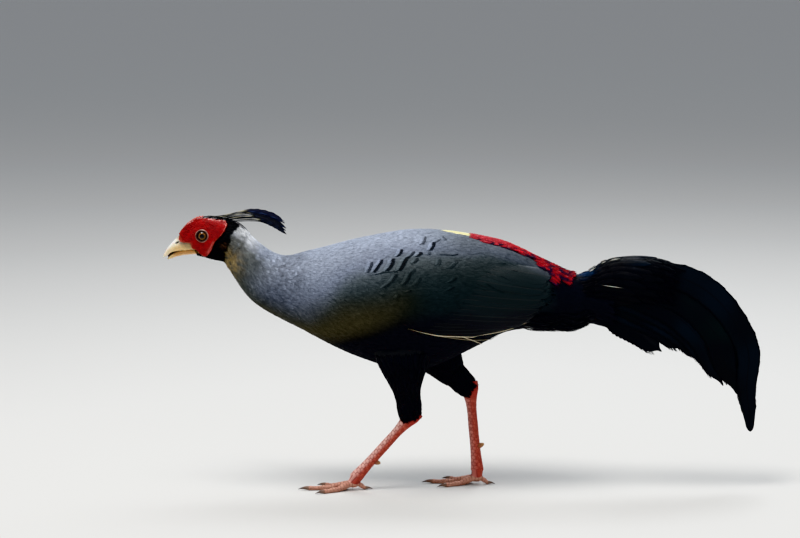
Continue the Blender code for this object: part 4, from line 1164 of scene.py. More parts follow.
def eye(side):
    """An eyeball with a bulging front, its pole outwards, coloured in rings."""
    rows = 72
    columns = 96
    b = np.linspace(0, math.pi, rows + 2)[1:-1, None]
    c = np.arange(columns)[None] * math.tau / columns
    ring = EYE_RADIUS * np.sin(b) + 0 * c
    bulge = 0.35 * np.exp(-(ring / 3.4) ** 2) * (np.cos(b) > 0)
    out = EYE_RADIUS * np.cos(b) + 0 * c - 0.35 + bulge
    centre = eye_centre()
    grid = np.stack([centre[0] + ring * np.cos(c), centre[1] - out, centre[2] + ring * np.sin(c)], -1)
    ray = noise(np.stack([c * 9 + 0 * b, ring * 0.8, 0 * ring], -1), (1, 1, 1), 6)
    iris = mix(rgb(104, 62, 28), rgb(158, 112, 62), 0.5 + 0.5 * ray)
    iris = mix(rgb(72, 34, 12), iris, ease(PUPIL, PUPIL + 0.7, ring))
    iris = mix(iris, rgb(30, 14, 9), ease(IRIS - 0.9, IRIS - 0.2, ring))
    colours = mix(iris, rgb(4, 4, 5), ease(PUPIL + 0.12, PUPIL - 0.08, ring))
    colours = mix(colours, rgb(30, 18, 14), ease(IRIS, IRIS + 0.3, ring))
    vane = np.stack([b / math.pi + 0 * c, c / math.tau + 0 * b], -1)
    return tube_batch(grid, colours, vane, side)


# The mandibles run on into the head behind these rows of the construction.
BILL_UPPER_ROOT = [(-284, 274, -275.5, 255.8, 8.6), (-290.5, 272.4, -279.4, 256.6, 8.0)]
BILL_LOWER_ROOT = [(-271, 254.0, -268, 249.2, 7.4), (-277.4, 254.6, -274, 249.0, 7.0)]
# The edge of the upper mandible over the mouth, in side view.
TOMIUM = ((-314, -309, -306, -302, -299, -295.5, -289, -283, -277),
          (245.8, 247.6, 250.4, 252.2, 252.7, 253.3, 253.7, 254.5, 254.2))


# Rows along and columns round each mandible.
BILL_UPPER_GRID = (130, 96)
BILL_LOWER_GRID = (100, 80)


def bill_surface(loft, size, upper):
    """A mandible with its edge, ridge, growth lines and, on the upper one, the nostrils."""
    s, a = ring_grid(0, loft.length, *size)
    f = s / loft.length
    side = side_angle(a)
    lift = 0.05 * np.sin(s * 2.1 + 0.8 * np.sin(np.radians(side) * 3))
    lift = lift * ease(0, 0.2, f) * ease(1, 0.8, f)
    if upper:
        nose_s, nose_a = loft.locate(*NOSTRIL)
        along = (s - nose_s) / 2.5
        around = (side - nose_a) * np.pi / 180 * loft.girth(s, a) / 1.05
        well = np.exp(-(along ** 2 + (around + 0.1) ** 2) ** 2)
        flap = np.exp(-((along / 1.25) ** 2 + ((around + 1.35) / 0.9) ** 2))
        lift = lift - 1.1 * well + 0.5 * flap
        ridge = ease(30, 0, side)
        lift = lift + 0.18 * ridge
        tomium = np.exp(-((side - 112) / 8) ** 2)
        lift = lift + 0.16 * tomium
        tip = ease(0.55, 1, f)
        colours = mix(rgb(230, 196, 136), rgb(236, 226, 204), ease(92, 44, side) * (1 - tip))
        colours = mix(colours, rgb(74, 70, 64), 0.85 * ease(0.46, 0.24, f) * ease(104, 60, side))
        # painted highlight along the top of the ridge
        colours = mix(colours, rgb(252, 250, 242), 0.95 * ease(60, 24, side) * ease(0.36, 0.48, f))
        colours = mix(colours, rgb(226, 172, 92), 0.7 * tomium)
        # the nostril's well painted near black as its shade
        colours = mix(colours, rgb(20, 14, 12), well)
        colours = mix(colours, rgb(240, 228, 200), tip + 0 * side)
        under = ease(128, 150, side) + 0 * f
    else:
        colours = mix(rgb(198, 142, 78), rgb(222, 174, 108), ease(100, 170, side) + 0 * f)
        colours = mix(colours, rgb(240, 212, 156), ease(0.7, 1, f) + 0 * side)
        under = ease(46, 24, side) + 0 * f
    colours = mix(colours, rgb(84, 34, 26), under)
    streak = noise(np.stack([f * 3 + 0 * a, a / 9 + 0 * f, 0 * (a + f)], -1), (1, 1, 1), 9)
    colours = np.clip(colours * (1 + 0.09 * streak)[..., None], 0, 1)
    grid = loft.point(s, a, lift)
    if upper:
        edge = smooth_curve(*TOMIUM, grid[..., 0]) + 0.9 * ease(114, 150, side)
        rim = ease(78, 108, side)
        grid[..., 2] = grid[..., 2] * (1 - rim) + edge * rim
    return tube_batch(grid, colours, np.stack([f + 0 * a, side / 180 + 0 * f], -1))


MOUTH = [
    (-276, 257.2, -274, 251.0, 7.4), (-283, 257.0, -282, 251.4, 6.2), (-290, 256.0, -289, 251.6, 5.2),
    (-297, 254.8, -296, 250.8, 4.2), (-304, 251.8, -303, 247.6, 2.6), (-308.6, 248.0, -308.2, 245.4, 0.9),
]


def mouth_lining():
    """Flesh between the mandibles, back to the corner of the mouth, painted dark as the shade inside the
    mouth and darkest in its front half.
    """
    loft = Loft(MOUTH)
    s, a = ring_grid(0, loft.length, 40, 30)
    colours = mix(rgb(84, 26, 20), rgb(26, 12, 10), ease(0, 0.5, s / loft.length) + 0 * a)
    vane = np.stack([s / loft.length + 0 * a, side_angle(a) / 180 + 0 * s], -1)
    return tube_batch(loft.point(s, a), colours, vane)


def head_coat():
    """Short black feathers on the crown, nape, ears and throat, clear of the red skin."""
    s, a = scatter(BODY, NAPE_S - 3, BODY.length - 1, 1.5, 1.4)
    points = BODY.point(s, a, 0)
    keep = ~near_face(points[:, 0], points[:, 2], 0.4)
    side = side_angle(a)
    keep |= (side < 26) & (points[:, 2] > 280)
    keep &= points[:, 0] > -292
    s, a, points, side = s[keep], a[keep], points[keep], side[keep]
    strip = (side < 36) & (points[:, 2] > 277) & (points[:, 0] < -252)
    glint = strip & (RANDOM.uniform(0, 1, len(s)) > 0.72)
    tone = np.where(glint, RANDOM.uniform(25, 75, len(s)), RANDOM.uniform(0.8, 1.2, len(s)))
    front = ease(-262, -284, points[:, 0])
    length = np.interp(s, (NAPE_S, NAPE_S + 14, BODY.length), (7.5, 6.0, 3.4))
    length = length * RANDOM.uniform(0.8, 1.2, len(s))
    width = 1.6 - 0.5 * front
    lifts = (-0.8, 0.35 + RANDOM.uniform(-0.1, 0.5, len(s)) * (1 - 0.6 * front))
    drift = RANDOM.normal(0, 0.5, len(s))
    return coat(BODY, s, a, length, width, lifts, tone, drift, HEAD_BARBS, 0.25, 0.2, coat_colour)


CREST_PLUMES = 16
CREST_ROOTS = (-20, 6)
CREST_LANE = 8
CREST_LENGTHS = (54, 82)
PLUME_AT = (0, 0.2, 0.45, 0.62, 0.9, 1)
PLUME_HALF_WIDTH = (0.26, 0.26, 0.36, 1.3, 1.5, 0.25)
# Headings of the rearmost and the foremost plume at each step along them.
CREST_HEADINGS = ((8, 2, -8, -22, -34, -40), (-2, 9, 13, -3, -26, -34))


def crest():
    """Bare wiry shafts that end in narrow blue-glossed webs."""
    crown = BODY.locate(-262, 286)[0]
    rows = 48
    columns = 7
    u = np.linspace(0, 1, rows)
    v = np.linspace(-1, 1, columns)
    half = np.interp(u, PLUME_AT, PLUME_HALF_WIDTH)
    batches = []
    for i in range(CREST_PLUMES):
        f = i / (CREST_PLUMES - 1)
        lane = i % 3 - 1
        root_s = crown + np.interp(f, (0, 1), CREST_ROOTS)
        root = BODY.point(root_s, lane * CREST_LANE + 2 * math.sin(i * 2.1), 0.9)
        length = np.interp(f, (0, 1), CREST_LENGTHS) * (1 + 0.04 * math.cos(2.6 * i))
        rear, fore = (smooth_curve(PLUME_AT, row, u) for row in CREST_HEADINGS)
        turn = np.radians(rear * (1 - f) + fore * f + 1.2 * math.sin(i * 3.3) * u)
        spread = math.radians(6 * lane + 1.5 * math.sin(i * 1.7))
        way = np.stack([np.cos(turn), 0 * u, np.sin(turn)], -1)
        way = unit(way * math.cos(spread) + np.array((0, math.sin(spread), 0)))
        spine = np.concatenate([[[0, 0, 0]], np.cumsum(way[:-1] * np.diff(u)[:, None] * length, 0)]) + root
        across = unit(np.cross(way, (0, 1, 0)))
        out = unit(np.cross(way, across))
        web = ease(0.45, 0.62, u)
        fringe = half * (1 + 0.18 * web * np.sin(u * 230 + i))
        ridge = np.interp(np.abs(v), (0, 0.34, 1), (1, 0.45, 0))
        top = spine[:, None] + across[:, None] * (fringe[:, None] * v)[..., None]
        thick = (0.36 - 0.18 * web)[:, None] * ridge
        upper = top + out[:, None] * thick[..., None]
        lower = top - out[:, None] * thick[..., None]
        blue = mix(rgb(6, 6, 12), rgb(11, 14, 42), (web * (0.8 if f > 0.6 else 0.2))[:, None] + 0 * v)
        # streak: painted pale highlights along one edge of the webs
        streak = ease(0.55, 0.95, -v) * (0.5 + 0.5 * np.sin(u * 43 + 5 * i))[:, None] * web[:, None]
        blue = mix(blue, rgb(126, 142, 196), streak * (0.9 if i in (5, 7, 9, 12, 15) else 0.3))
        glint = ease(0.6, 0.45, u) * (i % 4 == 3) * (0.5 + 0.5 * np.sin(u * 31 + 2 * i))
        blue = mix(blue, rgb(214, 208, 178), np.clip(glint, 0, 0.9)[:, None] + 0 * v)
        batches.append(lens_batch(upper, lower, np.clip(blue, 0, 1), u, v))
    s, a = scatter(BODY, crown - 22, crown + 9, 1.4, 1.3, arc=(-18, 18))
    colour = np.tile(HEAD_BLACK, (len(s), 1))
    glint = RANDOM.uniform(0, 1, len(s)) > 0.78
    colour = np.where(glint[:, None], rgb(196, 194, 198) * RANDOM.uniform(0.3, 1, (len(s), 1)), colour)
    length = RANDOM.uniform(6, 11, len(s))
    lifts = (-0.5, RANDOM.uniform(0.5, 1.9, len(s)))
    drift = RANDOM.normal(0, 0.5, len(s))
    base = feather_batch(BODY, s, a, length, CREST_BASE_WIDTH, lifts, colour, drift, depth=0.25)
    return batches, [base]


# Wing

# Each tier: name, count, first and last root, headings, lengths, half widths, lifts at the root
# and the tip, tilt and turn towards the tip.
WING_TIERS = [
    ("primary", 5, (-50, 174), (-34, 186), (-7, -6), (112, 106), (3.6, 4.6), (-0.4, 0.8), 0.3, 20),
    ("secondary", 9, (-38, 186), (6, 224), (-3, -7), (108, 86), (5.4, 6.6), (-0.8, 1.0), 0.35, 2),
    ("tertial", 5, (6, 228), (26, 242), (-9, -13), (84, 66), (6.6, 7.4), (-0.8, 1.3), 0.35, 0),
]
WING_ROWS = 26
WING_COLUMNS = 9


def wing_vane(root, heading, length, half, lifts, tilt, bend, line, wobble):
    """Upper and lower face of one vane laid on the closed wing of the left side."""
    u = np.linspace(0, 1, WING_ROWS)[:, None]
    v = np.linspace(-1, 1, WING_COLUMNS)
    widths = np.interp(u, (0, 0.12, 0.35, 0.8, 0.93, 1), (0.2, 0.6, 0.95, 1, 0.72, 0.12)) * half
    widths = widths * (1 + 0.03 * np.sin(u * 46 + wobble * 7) * (np.abs(v) > 0.9))
    turn = np.radians(heading + bend * u / 2 + wobble * 1.2)
    x = root[0] + length * u * np.cos(turn) + widths * v * np.sin(turn)
    z = root[1] + length * u * np.sin(turn) - widths * v * np.cos(turn)
    first, last = np.array(line, float)
    behind = unit(np.array((last[1] - first[1], first[0] - last[0])))
    run = np.array((math.cos(math.radians(heading)), math.sin(math.radians(heading))))
    far = (x - first[0]) * behind[0] + (z - first[1]) * behind[1]
    risen = np.clip(far / (length * (run @ behind)), 0, 1.1) ** 0.6
    lift = lifts[0] + (lifts[1] - lifts[0]) * risen + tilt * v * np.clip(4 * risen, 0, 1)
    crown = 0.25 * (1 - v ** 2)
    shaft = 0.14 * np.exp(-(v / 0.12) ** 2)
    thick = 0.24 * np.sqrt(np.clip(1 - v ** 2, 0, 1)) + shaft
    lift = lift + crown + wing_lift(x, z, True)
    s, a = BODY.locate(x, z)
    upper = BODY.point(s, a, lift + thick * 0.5)
    lower = BODY.point(s, a, lift - thick * 0.7)
    return upper, lower, u[:, 0], v, s, a


def wing_vanes():
    """The large feathers of the closed left wing, tier over tier."""
    batches = []
    for tier, count, first, last, headings, lengths, halves, lifts, tilt, bend in WING_TIERS:
        for i in range(count):
            f = i / (count - 1)
            root = np.array(first) * (1 - f) + np.array(last) * f
            heading, length, half = (pair[0] * (1 - f) + pair[1] * f for pair in (headings, lengths, halves))
            length *= 1 + 0.04 * math.sin(2.4 * i + count)
            wobble = RANDOM.uniform(-1, 1)
            upper, lower, u, v, s, a = wing_vane(root, heading, length, half, lifts, tilt, bend,
                                                 (first, last), wobble)
            inside = np.minimum(upper[..., 0], 91)
            colour = body_colour(s, a, np.stack([inside, upper[..., 1], upper[..., 2]], -1))
            if tier == "primary":
                colour = colour * 0.6
            colour = colour * (1 + 0.10 * wobble)
            batches.append(lens_batch(upper, lower, np.clip(colour, 0, 1), u, v))
    return batches


# Pale outer shafts of the lowest flight feathers, as the photo shows them.
SHAFT_PIXELS = [
    [(408, 328), (436.5, 333.6), (458, 334.3), (476, 334.3), (498, 331), (513, 326.7), (526, 321.6)],
    [(459.6, 335), (467, 337.6), (475, 340.4), (482, 343)],
    [(430, 334), (450, 337), (470, 339), (486, 338.6), (498, 337)],
]
SHAFT_LEVELS = (1.0, 0.8, 0.35)
SHAFT_PALE = rgb(228, 214, 184)
SHAFT_LIFT = 1.5
SHAFT_RADIUS = 0.62


def seen_line(pixels, count, shape=None):
    """A smooth line through places in the photo: the shares along it, its x and its z."""
    x, z = seen_at(pixels, shape)
    knots = np.linspace(0, 1, len(x))
    u = np.linspace(0, 1, count)
    return u, smooth_curve(knots, x, u), smooth_curve(knots, z, u)


def line_batch(u, spine, wide, deep, colours):
    """A thin closed line that lies on the left side."""
    rings = sweep(spine, wide, deep, 8, front=(0, -1, 0))
    vane = np.stack([u, 0.6 + 0 * u], -1)
    return tube_batch(rings, colours[:, None], vane[:, None])


def wing_shafts():
    """The pale shafts along the lower edge of the closed left wing."""
    batches = []
    for pixels, level in zip(SHAFT_PIXELS, SHAFT_LEVELS):
        u, x, z = seen_line(pixels, 60)
        spine = BODY.point(*BODY.locate(x, z), wing_lift(x, z, True) + SHAFT_LIFT)
        half = SHAFT_RADIUS * np.interp(u, (0, 0.15, 0.8, 1), (0.3, 1, 0.75, 0.25)) * (0.7 + 0.3 * level)
        colours = mix(rgb(30, 28, 26), SHAFT_PALE, level * ease(-0.1, 0.2, u))
        batches.append(line_batch(u, spine, half, half, colours))
    return batches


# The bars are the coverts' own black bars, partly painted shade in the gaps between their tips.
# Black bars of the wing as the photo shows them: pixels from the upper to the lower end of
# each, how dark it is and its thickness in mm.
BARS = [
    ([(425.6, 237), (423.2, 244.2)], 0.7, 2.0), ([(434, 242.6), (430.8, 250.6)], 1.0, 2.6),
    ([(440, 239.4), (434, 242.6)], 0.45, 1.8), ([(443, 237), (446, 240)], 0.45, 1.8),
    ([(402, 249.8), (398.4, 257)], 1.0, 2.4), ([(414.4, 252.2), (408, 258.6)], 0.75, 2.2),
    ([(408, 257.8), (403.6, 263.4), (400.8, 272.2)], 1.0, 3.4),
    ([(421.2, 253), (417.2, 257.4)], 1.0, 3.2), ([(417.6, 259.4), (414.4, 264.6)], 0.75, 2.4),
    ([(394, 259.4), (390.8, 266.6), (388, 272.2)], 1.0, 3.2),
    ([(382.8, 260.6), (378.8, 265.8), (374.8, 273)], 1.0, 2.6),
    ([(372.4, 262.6), (370, 268.2), (368.8, 273)], 0.75, 2.0),
    ([(376, 275.4), (384, 273.4), (397.6, 273.4)], 0.8, 1.6),
    ([(397.6, 276.2), (392, 282.6), (384.8, 288.2)], 0.75, 2.0),
    ([(411.2, 273.8), (408, 280.2), (404.8, 285.8)], 0.75, 2.0),
    ([(415, 270.6), (411, 276)], 0.45, 1.8), ([(420.8, 279.4), (416, 286.6)], 0.45, 1.8),
    ([(440, 259.4), (438.8, 266.6)], 0.35, 1.8), ([(429.6, 252), (429.6, 255)], 0.4, 1.8),
    ([(457, 263), (450, 270)], 0.35, 1.8), ([(456, 279.4), (449, 284)], 0.7, 2.0),
    ([(453.6, 288), (448, 291.4)], 0.7, 2.0), ([(411, 291.4), (407, 293)], 0.7, 1.8),
    ([(400, 295), (397, 298.6)], 0.5, 1.6), ([(440, 254.8), (452, 255.6), (458, 254.6)], 0.8, 1.2),
    ([(500, 263), (505, 263.6)], 0.7, 1.2), ([(512, 271), (517, 271.4)], 0.6, 1.2),
    ([(500, 277), (507, 281), (514, 283)], 0.45, 1.2), ([(510, 285), (520, 290), (530, 292)], 0.45, 1.2),
    ([(486, 285), (494, 290), (503, 293)], 0.4, 1.2),
]


def wing_bars():
    """Short black barbs in rows over the left wing's coat, the coverts' bars with painted shade in the gaps
    between their tips, and pale ones before them, the coverts' pale edges with a painted highlight.
    """
    batches = []
    for pixels, level, thick in BARS:
        x, z = seen_at(pixels)
        steps = np.concatenate([[0], np.cumsum(np.hypot(np.diff(x), np.diff(z)))])
        count = max(int(steps[-1] / 0.2), 6)
        at = np.linspace(0, steps[-1], count)
        fade = np.sqrt(np.clip(1 - (2 * at / steps[-1] - 1) ** 2, 0.1, 1))
        x = np.interp(at, steps, x) + RANDOM.normal(0, 0.3, count)
        z = np.interp(at, steps, z)
        # pale: lighter copies of the coat, partly painted highlight on the covert edges; dark: partly painted
        # shade
        for pale, reach in ((True, 3.6 + 0.5 * thick), (False, 1.8 * thick)):
            s, a = BODY.locate(x - reach * (1.1 if pale else 0.4), z)
            under = coat_colour(np.stack([s, np.radians(a) * LIE_RADIUS], -1), BODY.point(s, a))
            if pale:
                tint = under * (1 + 0.75 * level * RANDOM.uniform(0.3, 1, (count, 1)))
            else:
                tint = mix(under, BLUE_BLACK * 0.4, level * RANDOM.uniform(0.85, 1.0, count))
            lifts = (0.3, 0.75 + 0.25 * (not pale) + RANDOM.uniform(0, 0.2, count))
            points, vane, lie, normals = lay(SURFACE, s, a, reach * (0.5 + 0.5 * fade), 0.55, lifts,
                                             RANDOM.normal(0.3, 0.2, count), rings=(0.3, 0.75),
                                             profile=(1.0, 0.75), depth=0.15, sides=3, camber=0.0)
            batches.append(Batch(points, BARB_FACES, np.clip(tint, 0, 1)[:, None], vane,
                                 skin_place(BODY, s, a), lie, normals))
    return batches


# How deep the rim and the inner face of the wing's core lie, in mm.
CORE_RIM = -1.8
CORE_UNDER = -2.2


def wing_core():
    """The closed wing's own thickness, under its feathers."""
    rows, columns = 80, 30
    x = np.linspace(WING_EDGE_X[0], WING_EDGE_X[-1] + 3, rows)
    high = np.interp(x, WING_EDGE_X, WING_TOP_Z) + 6
    low = np.interp(x, WING_EDGE_X, WING_LOW_Z) - 2
    f = np.linspace(0, 1, columns)
    z = low[:, None] + (high - low)[:, None] * f
    x = x[:, None] + 0 * z
    s, a = BODY.locate(x, z)
    lift = wing_lift(x, z) - COAT_DEPTH * 0.7
    lift[[0, -1]] = CORE_RIM
    lift[:, [0, -1]] = CORE_RIM
    upper = BODY.point(s, a, lift)
    lower = BODY.point(s, a, CORE_UNDER)
    # darker as painted shade under the wing's feathers
    colour = body_colour(s, a, upper) * 0.8
    return lens_batch(upper, lower, colour, np.linspace(0, 1, rows), f * 2 - 1)


# Rump, tail and vent


# Where gaps part the lower edge of the red, in x.
RED_GAPS = (92.5, 105)


def rump_coat():
    """Lax rounded red feathers that part over the sides, some with dark blue ends."""
    s, a = scatter(BODY, 9, RUMP_S + 44, 2.5, 2.3, arc=(-116, 116))
    x = BODY.point(s, a, 0)[:, 0]
    side = np.abs(a)
    length = RANDOM.uniform(11, 15, len(s)) * np.interp(x, (10, 60, 100), (0.8, 1.0, 1.1))
    width = RANDOM.uniform(3.6, 5.0, len(s)) * np.interp(x, (10, 60), (0.7, 1.0))
    drift = a / 90 * length * 0.55 * ease(4, 30, side) + RANDOM.normal(0, 0.7, len(s))
    tip = BODY.point(s - 0.9 * length, a + np.degrees(drift / BODY.girth(s, a)))
    keep = (on_rump(tip[:, 0], tip[:, 2], side) > 0.5) & (x > 3)
    s, a, x, side, length, width, drift = (v[keep] for v in (s, a, x, side, length, width, drift))
    depth_in = tip[keep, 2] - np.interp(tip[keep, 0], *RED_LINE)
    blue = (RANDOM.uniform(0, 1, len(s)) < 0.06 + 0.2 * ease(50, 95, x)) & (x > 30)
    edge = (depth_in < 1.5) & (RANDOM.uniform(0, 1, len(s)) < 0.15)
    tip_x = tip[keep, 0]
    for gap in RED_GAPS:
        edge |= (depth_in < 15) & (np.abs(tip_x - gap) < 2.2)
    shade = 1 + 0.16 * RANDOM.normal(0, 1, len(s))
    lifts = (-1.0, 0.9 + RANDOM.uniform(-0.3, 1.0, len(s)) * ease(10, 60, x))
    points, vane, lie, normals = lay(BODY, s, a, length, width, lifts, drift, (0.22, 0.5, 0.78, 0.93),
                                     (0.6, 0.95, 1.0, 0.7), depth=0.25, camber=0.35)
    # paler pink at the front as a painted highlight, darker towards the rear
    bright = mix(rgb(186, 58, 68), RUMP_RED, ease(20, 60, x)) * (1 - 0.38 * ease(55, 100, x))[:, None]

    def painted(u, pick_blue, level):
        lit = bright if u.ndim == 1 else bright[:, None]
        red = mix(RUMP_DEEP, lit, ease(0.4, 0.62, u))
        red = mix(red, rgb(222, 70, 76), 0.35 * ease(0.85, 1, u))
        return np.clip(mix(red, RUMP_BLUE, pick_blue * 0.95 + 0 * u) * level[..., None], 0, 1)

    dark = (blue | edge).astype(float)
    colours = painted(vane[..., 0], dark[:, None], shade[:, None] + 0 * vane[..., 0])
    feathers = Batch(points, SHAFT_FACES[4], colours, vane, skin_place(BODY, s, a), lie, normals)
    tips = painted(0.9 + 0 * s, dark, shade)
    barbs = barb_batch(BODY, s, a, 8, length * 0.42, 0.4, length, width, lifts, tips, drift, spread=1.6,
                       loose=0.5)
    return [feathers, barbs]


def vent_coat():
    """Loose blue-black feathers between the legs and the tail."""
    s, a = scatter(BODY, 2, 74, 3.4, 3.2, arc=(118, 242))
    colour = varied(BLUE_BLACK * 0.7, len(s), 0.2)
    length = RANDOM.uniform(18, 28, len(s))
    lifts = (-1.2, 1.6 + RANDOM.uniform(-0.5, 2.2, len(s)))
    drift = RANDOM.normal(0, 1.0, len(s))
    return coat(BODY, s, a, length, VENT_WIDTH, lifts, colour, drift, VENT_BARBS)


def tail_spine(pair, u):
    """Places and directions along a tail feather in side view. Pair 0 is on the ridge."""
    length, start, end = TAIL_PAIRS[pair]
    heading = np.radians(start + (end - start) * smooth_curve(TAIL_TURN_AT, TAIL_TURN, u))
    run = np.stack([np.cos(heading), np.sin(heading)], -1)
    step = (run[1:] + run[:-1]) / 2 * np.diff(u)[:, None] * length
    spine = np.concatenate([[[0, 0]], np.cumsum(step, axis=0)])
    return spine + np.array(TAIL_ROOT) + pair * np.array(TAIL_ROOT_STEP), run


def tail_widths(u):
    return TAIL_HALF_WIDTH * smooth_curve(TAIL_WIDTH_AT, TAIL_WIDTH, u)


def tail_side(x, z, ridge):
    """Half width of the roof that the tail feathers lie on, at x, z in side view."""
    reach = np.linalg.norm(np.stack([x, z], -1)[..., None, :] - ridge, axis=-1)
    along_ridge = reach.argmin(-1) / (len(ridge) - 1)
    return smooth_curve(TAIL_RIDGE_AT, TAIL_RIDGE_HALF, along_ridge) + TAIL_SLOPE * reach.min(-1)


TAIL_ROWS = 90
TAIL_COLUMNS = 11
TAIL_STEPS = np.linspace(0, 1, 400)
# Length in mm of the side of the tail barbs' unwrap.
TAIL_UNWRAP = 400


def tail_ridge():
    """The upper edge of the two middle tail feathers, in side view."""
    ridge, run = tail_spine(0, TAIL_STEPS)
    above = np.stack([-run[:, 1], run[:, 0]], -1)
    return ridge + above * tail_widths(TAIL_STEPS)[:, None]


def tail_vanes():
    """The fourteen tail feathers, each a glossy vane with a shaft and soft barbed edges."""
    ridge = tail_ridge()
    batches = []
    for pair in range(len(TAIL_PAIRS)):
        u = np.linspace(0, 1, TAIL_ROWS)
        v = np.linspace(-1, 1, TAIL_COLUMNS)
        spine, run = tail_spine(pair, u)
        down = np.stack([run[:, 1], -run[:, 0]], -1)
        tip = ease(0.90, 1.0, u)
        widths = tail_widths(u) * (1 - (0.2 if pair == 0 else 0.72) * tip ** (4 if pair == 0 else 1.6))
        widths = widths * (1 + 0.34 * np.exp(-((u - 0.80) / 0.12) ** 2) * (pair == 1))
        ragged = 1 + (0.030 * np.sin(u * 97 + pair) + 0.02 * np.sin(u * 211 + 2 * pair))[:, None] * \
            ease(0.8, 1, np.abs(v))
        across = widths[:, None] * v * ragged
        flat = spine[:, None] + down[:, None] * across[..., None]
        past = (3.5 if pair == 0 else 2.5) * (1 - v ** 2) * tip[:, None]
        flat = flat + run[:, None] * past[..., None]
        out = tail_side(flat[..., 0], flat[..., 1], ridge) - TAIL_STACK * pair
        camber = 0.55 * (1 - v ** 2) * ease(0.02, 0.2, u)[:, None]
        shaft = (0.36 - 0.2 * u)[:, None] * np.exp(-(v / 0.09) ** 2)
        thick = 0.17 * np.sqrt(np.clip(1 - v ** 2, 0, 1)) + shaft
        wave = 0.25 * np.sin(u * 19 + pair * 2)[:, None] * v ** 2
        faces = [np.stack([flat[..., 0], -(out + camber + wave + d), flat[..., 1]], -1)
                 for d in (thick, -thick * 0.8)]
        place = np.stack([flat[..., 0], flat[..., 1], 0 * flat[..., 0] + 9 * pair], -1)
        sheen = noise(place, (34, 34, 5), 21)
        colour = mix(rgb(2, 2, 5), rgb(4, 9, 17), ease(-0.1, 0.9, sheen))
        colour = mix(colour, rgb(5, 14, 13), ease(0.2, 0.9, -sheen) * 0.6)
        feather = lens_batch(faces[0], faces[1], colour, u, v)
        batches += [feather, feather.mirrored()]
    return batches


def tail_barbs():
    """Loose barbs along the edges of the tail feathers, which break their outlines."""
    ridge = tail_ridge()
    found = []
    for pair in range(len(TAIL_PAIRS)):
        count = int(TAIL_PAIRS[pair][0] * 1.3)
        fine = tail_spine(pair, TAIL_STEPS)
        for edge in (-1, 1):
            u = np.sort(RANDOM.uniform(0.14, 0.93, count))
            spine, run = (np.stack([np.interp(u, TAIL_STEPS, line[:, k]) for k in (0, 1)], -1)
                          for line in fine)
            run = unit(run)
            down = np.stack([run[:, 1], -run[:, 0]], -1)
            widths = tail_widths(u) * (1 - 0.72 * ease(0.90, 1.0, u) ** 1.6)
            root = spine + down * (edge * widths * 0.9)[:, None] + run * (2.5 * ease(0.9, 1, u))[:, None]
            slant = unit(run + down * (edge * RANDOM.uniform(0.06, 0.18, count))[:, None])
            tip = root + slant * (RANDOM.uniform(5, 8, count) * (1 - 0.55 * ease(0.85, 1, u)))[:, None]
            found.append((root, tip, np.full(count, pair)))
    root, tip, pair = (np.concatenate([item[k] for item in found]) for k in range(3))
    points = []
    for f, wide in ((0, 0.0), (0.3, 1.0), (0.72, 0.7), (1, 0.0)):
        place = root * (1 - f) + tip * f
        across = unit(tip - root)[:, ::-1] * (1, -1)
        out = tail_side(place[:, 0], place[:, 1], ridge) - TAIL_STACK * pair + 0.12
        if wide == 0:
            points.append(np.stack([place[:, 0], -out, place[:, 1]], -1)[:, None])
            continue
        for v, h in ((-1, -0.12), (0, 0.22), (1, -0.12)):
            at = place + across * v * wide * 0.3
            points.append(np.stack([at[:, 0], -(out + h), at[:, 1]], -1)[:, None])
    points = np.concatenate(points, axis=1)
    u = np.array([0, 0.3, 0.3, 0.3, 0.72, 0.72, 0.72, 1])
    vane = np.stack([u, 0.5 + 0 * u], -1)[None]
    colour = np.tile(rgb(5, 6, 11), (len(points), 1)) * RANDOM.uniform(0.7, 1.5, len(points))[:, None]
    batch = Batch(points, BARB_FACES, colour[:, None], vane, root / TAIL_UNWRAP)
    return [batch, batch.mirrored()]


# Rows of the long coverts: first root and length in mm, lifts at the root and the tip, count.
COVERT_ROWS = ((12, 90, (0.0, 0.8), 15), (8, 74, (0.0, 1.1), 16), (6, 62, (0.0, 1.4), 15))
# The angle that each row spans round the tail's root.
COVERT_ARC = 206


def covert_vanes():
    """Long feathers over the tail's root, on a closed core."""
    cover = Loft(TAIL_COVER)
    rows, columns = 30, 9
    s, a = ring_grid(0, cover.length * 0.72, 40, 48)
    core = cover.point(s, a, -0.8 - 5 * ease(40, 76, s) + 0 * a)
    batches = [tube_batch(core, rgb(3, 3, 7), (0.5, 0.5))]
    u = np.linspace(0, 1, rows)[:, None]
    v = np.linspace(-1, 1, columns)
    for row, (start, length, lifts, count) in enumerate(COVERT_ROWS):
        step = COVERT_ARC / (count - 1)
        for i in range(count):
            angle = step * (i - (count - 1) / 2)
            reach = length * (1 - 0.003 * abs(angle)) * (1 + 0.07 * math.sin(i * 2.7 + row))
            half = 3.9 * np.interp(u, (0, 0.25, 0.7, 0.9, 1), (0.35, 0.85, 1, 0.6, 0.1))
            half = half * (1 + 0.1 * np.sin(u * 90 + i) * (np.abs(v) > 0.9))
            girth = cover.girth(np.array([start + 5.0]), np.array([angle + 0.0]))[0]
            s = start + reach * u + 0 * v
            a = angle + np.degrees((0.08 * angle * u ** 1.5 + half * v) / girth)
            lift = lifts[0] + (lifts[1] + 0.5 * (i % 2)) * u ** 0.7 + 0.35 * (1 - v ** 2)
            thick = 0.2 * np.sqrt(np.clip(1 - v ** 2, 0, 1)) + 0.12 * np.exp(-(v / 0.1) ** 2) + 0 * u
            upper = cover.point(s, a, lift + thick)
            lower = cover.point(s, a, lift - thick)
            glow = ease(0.5, 0.95, u) * (row > 1) * ease(60, 20, abs(angle)) + 0 * v
            colour = mix(rgb(3, 3, 7), rgb(6, 26, 44), 0.35 * glow)
            batches.append(lens_batch(upper, lower, np.clip(colour, 0, 1), u[:, 0], v))
    return batches


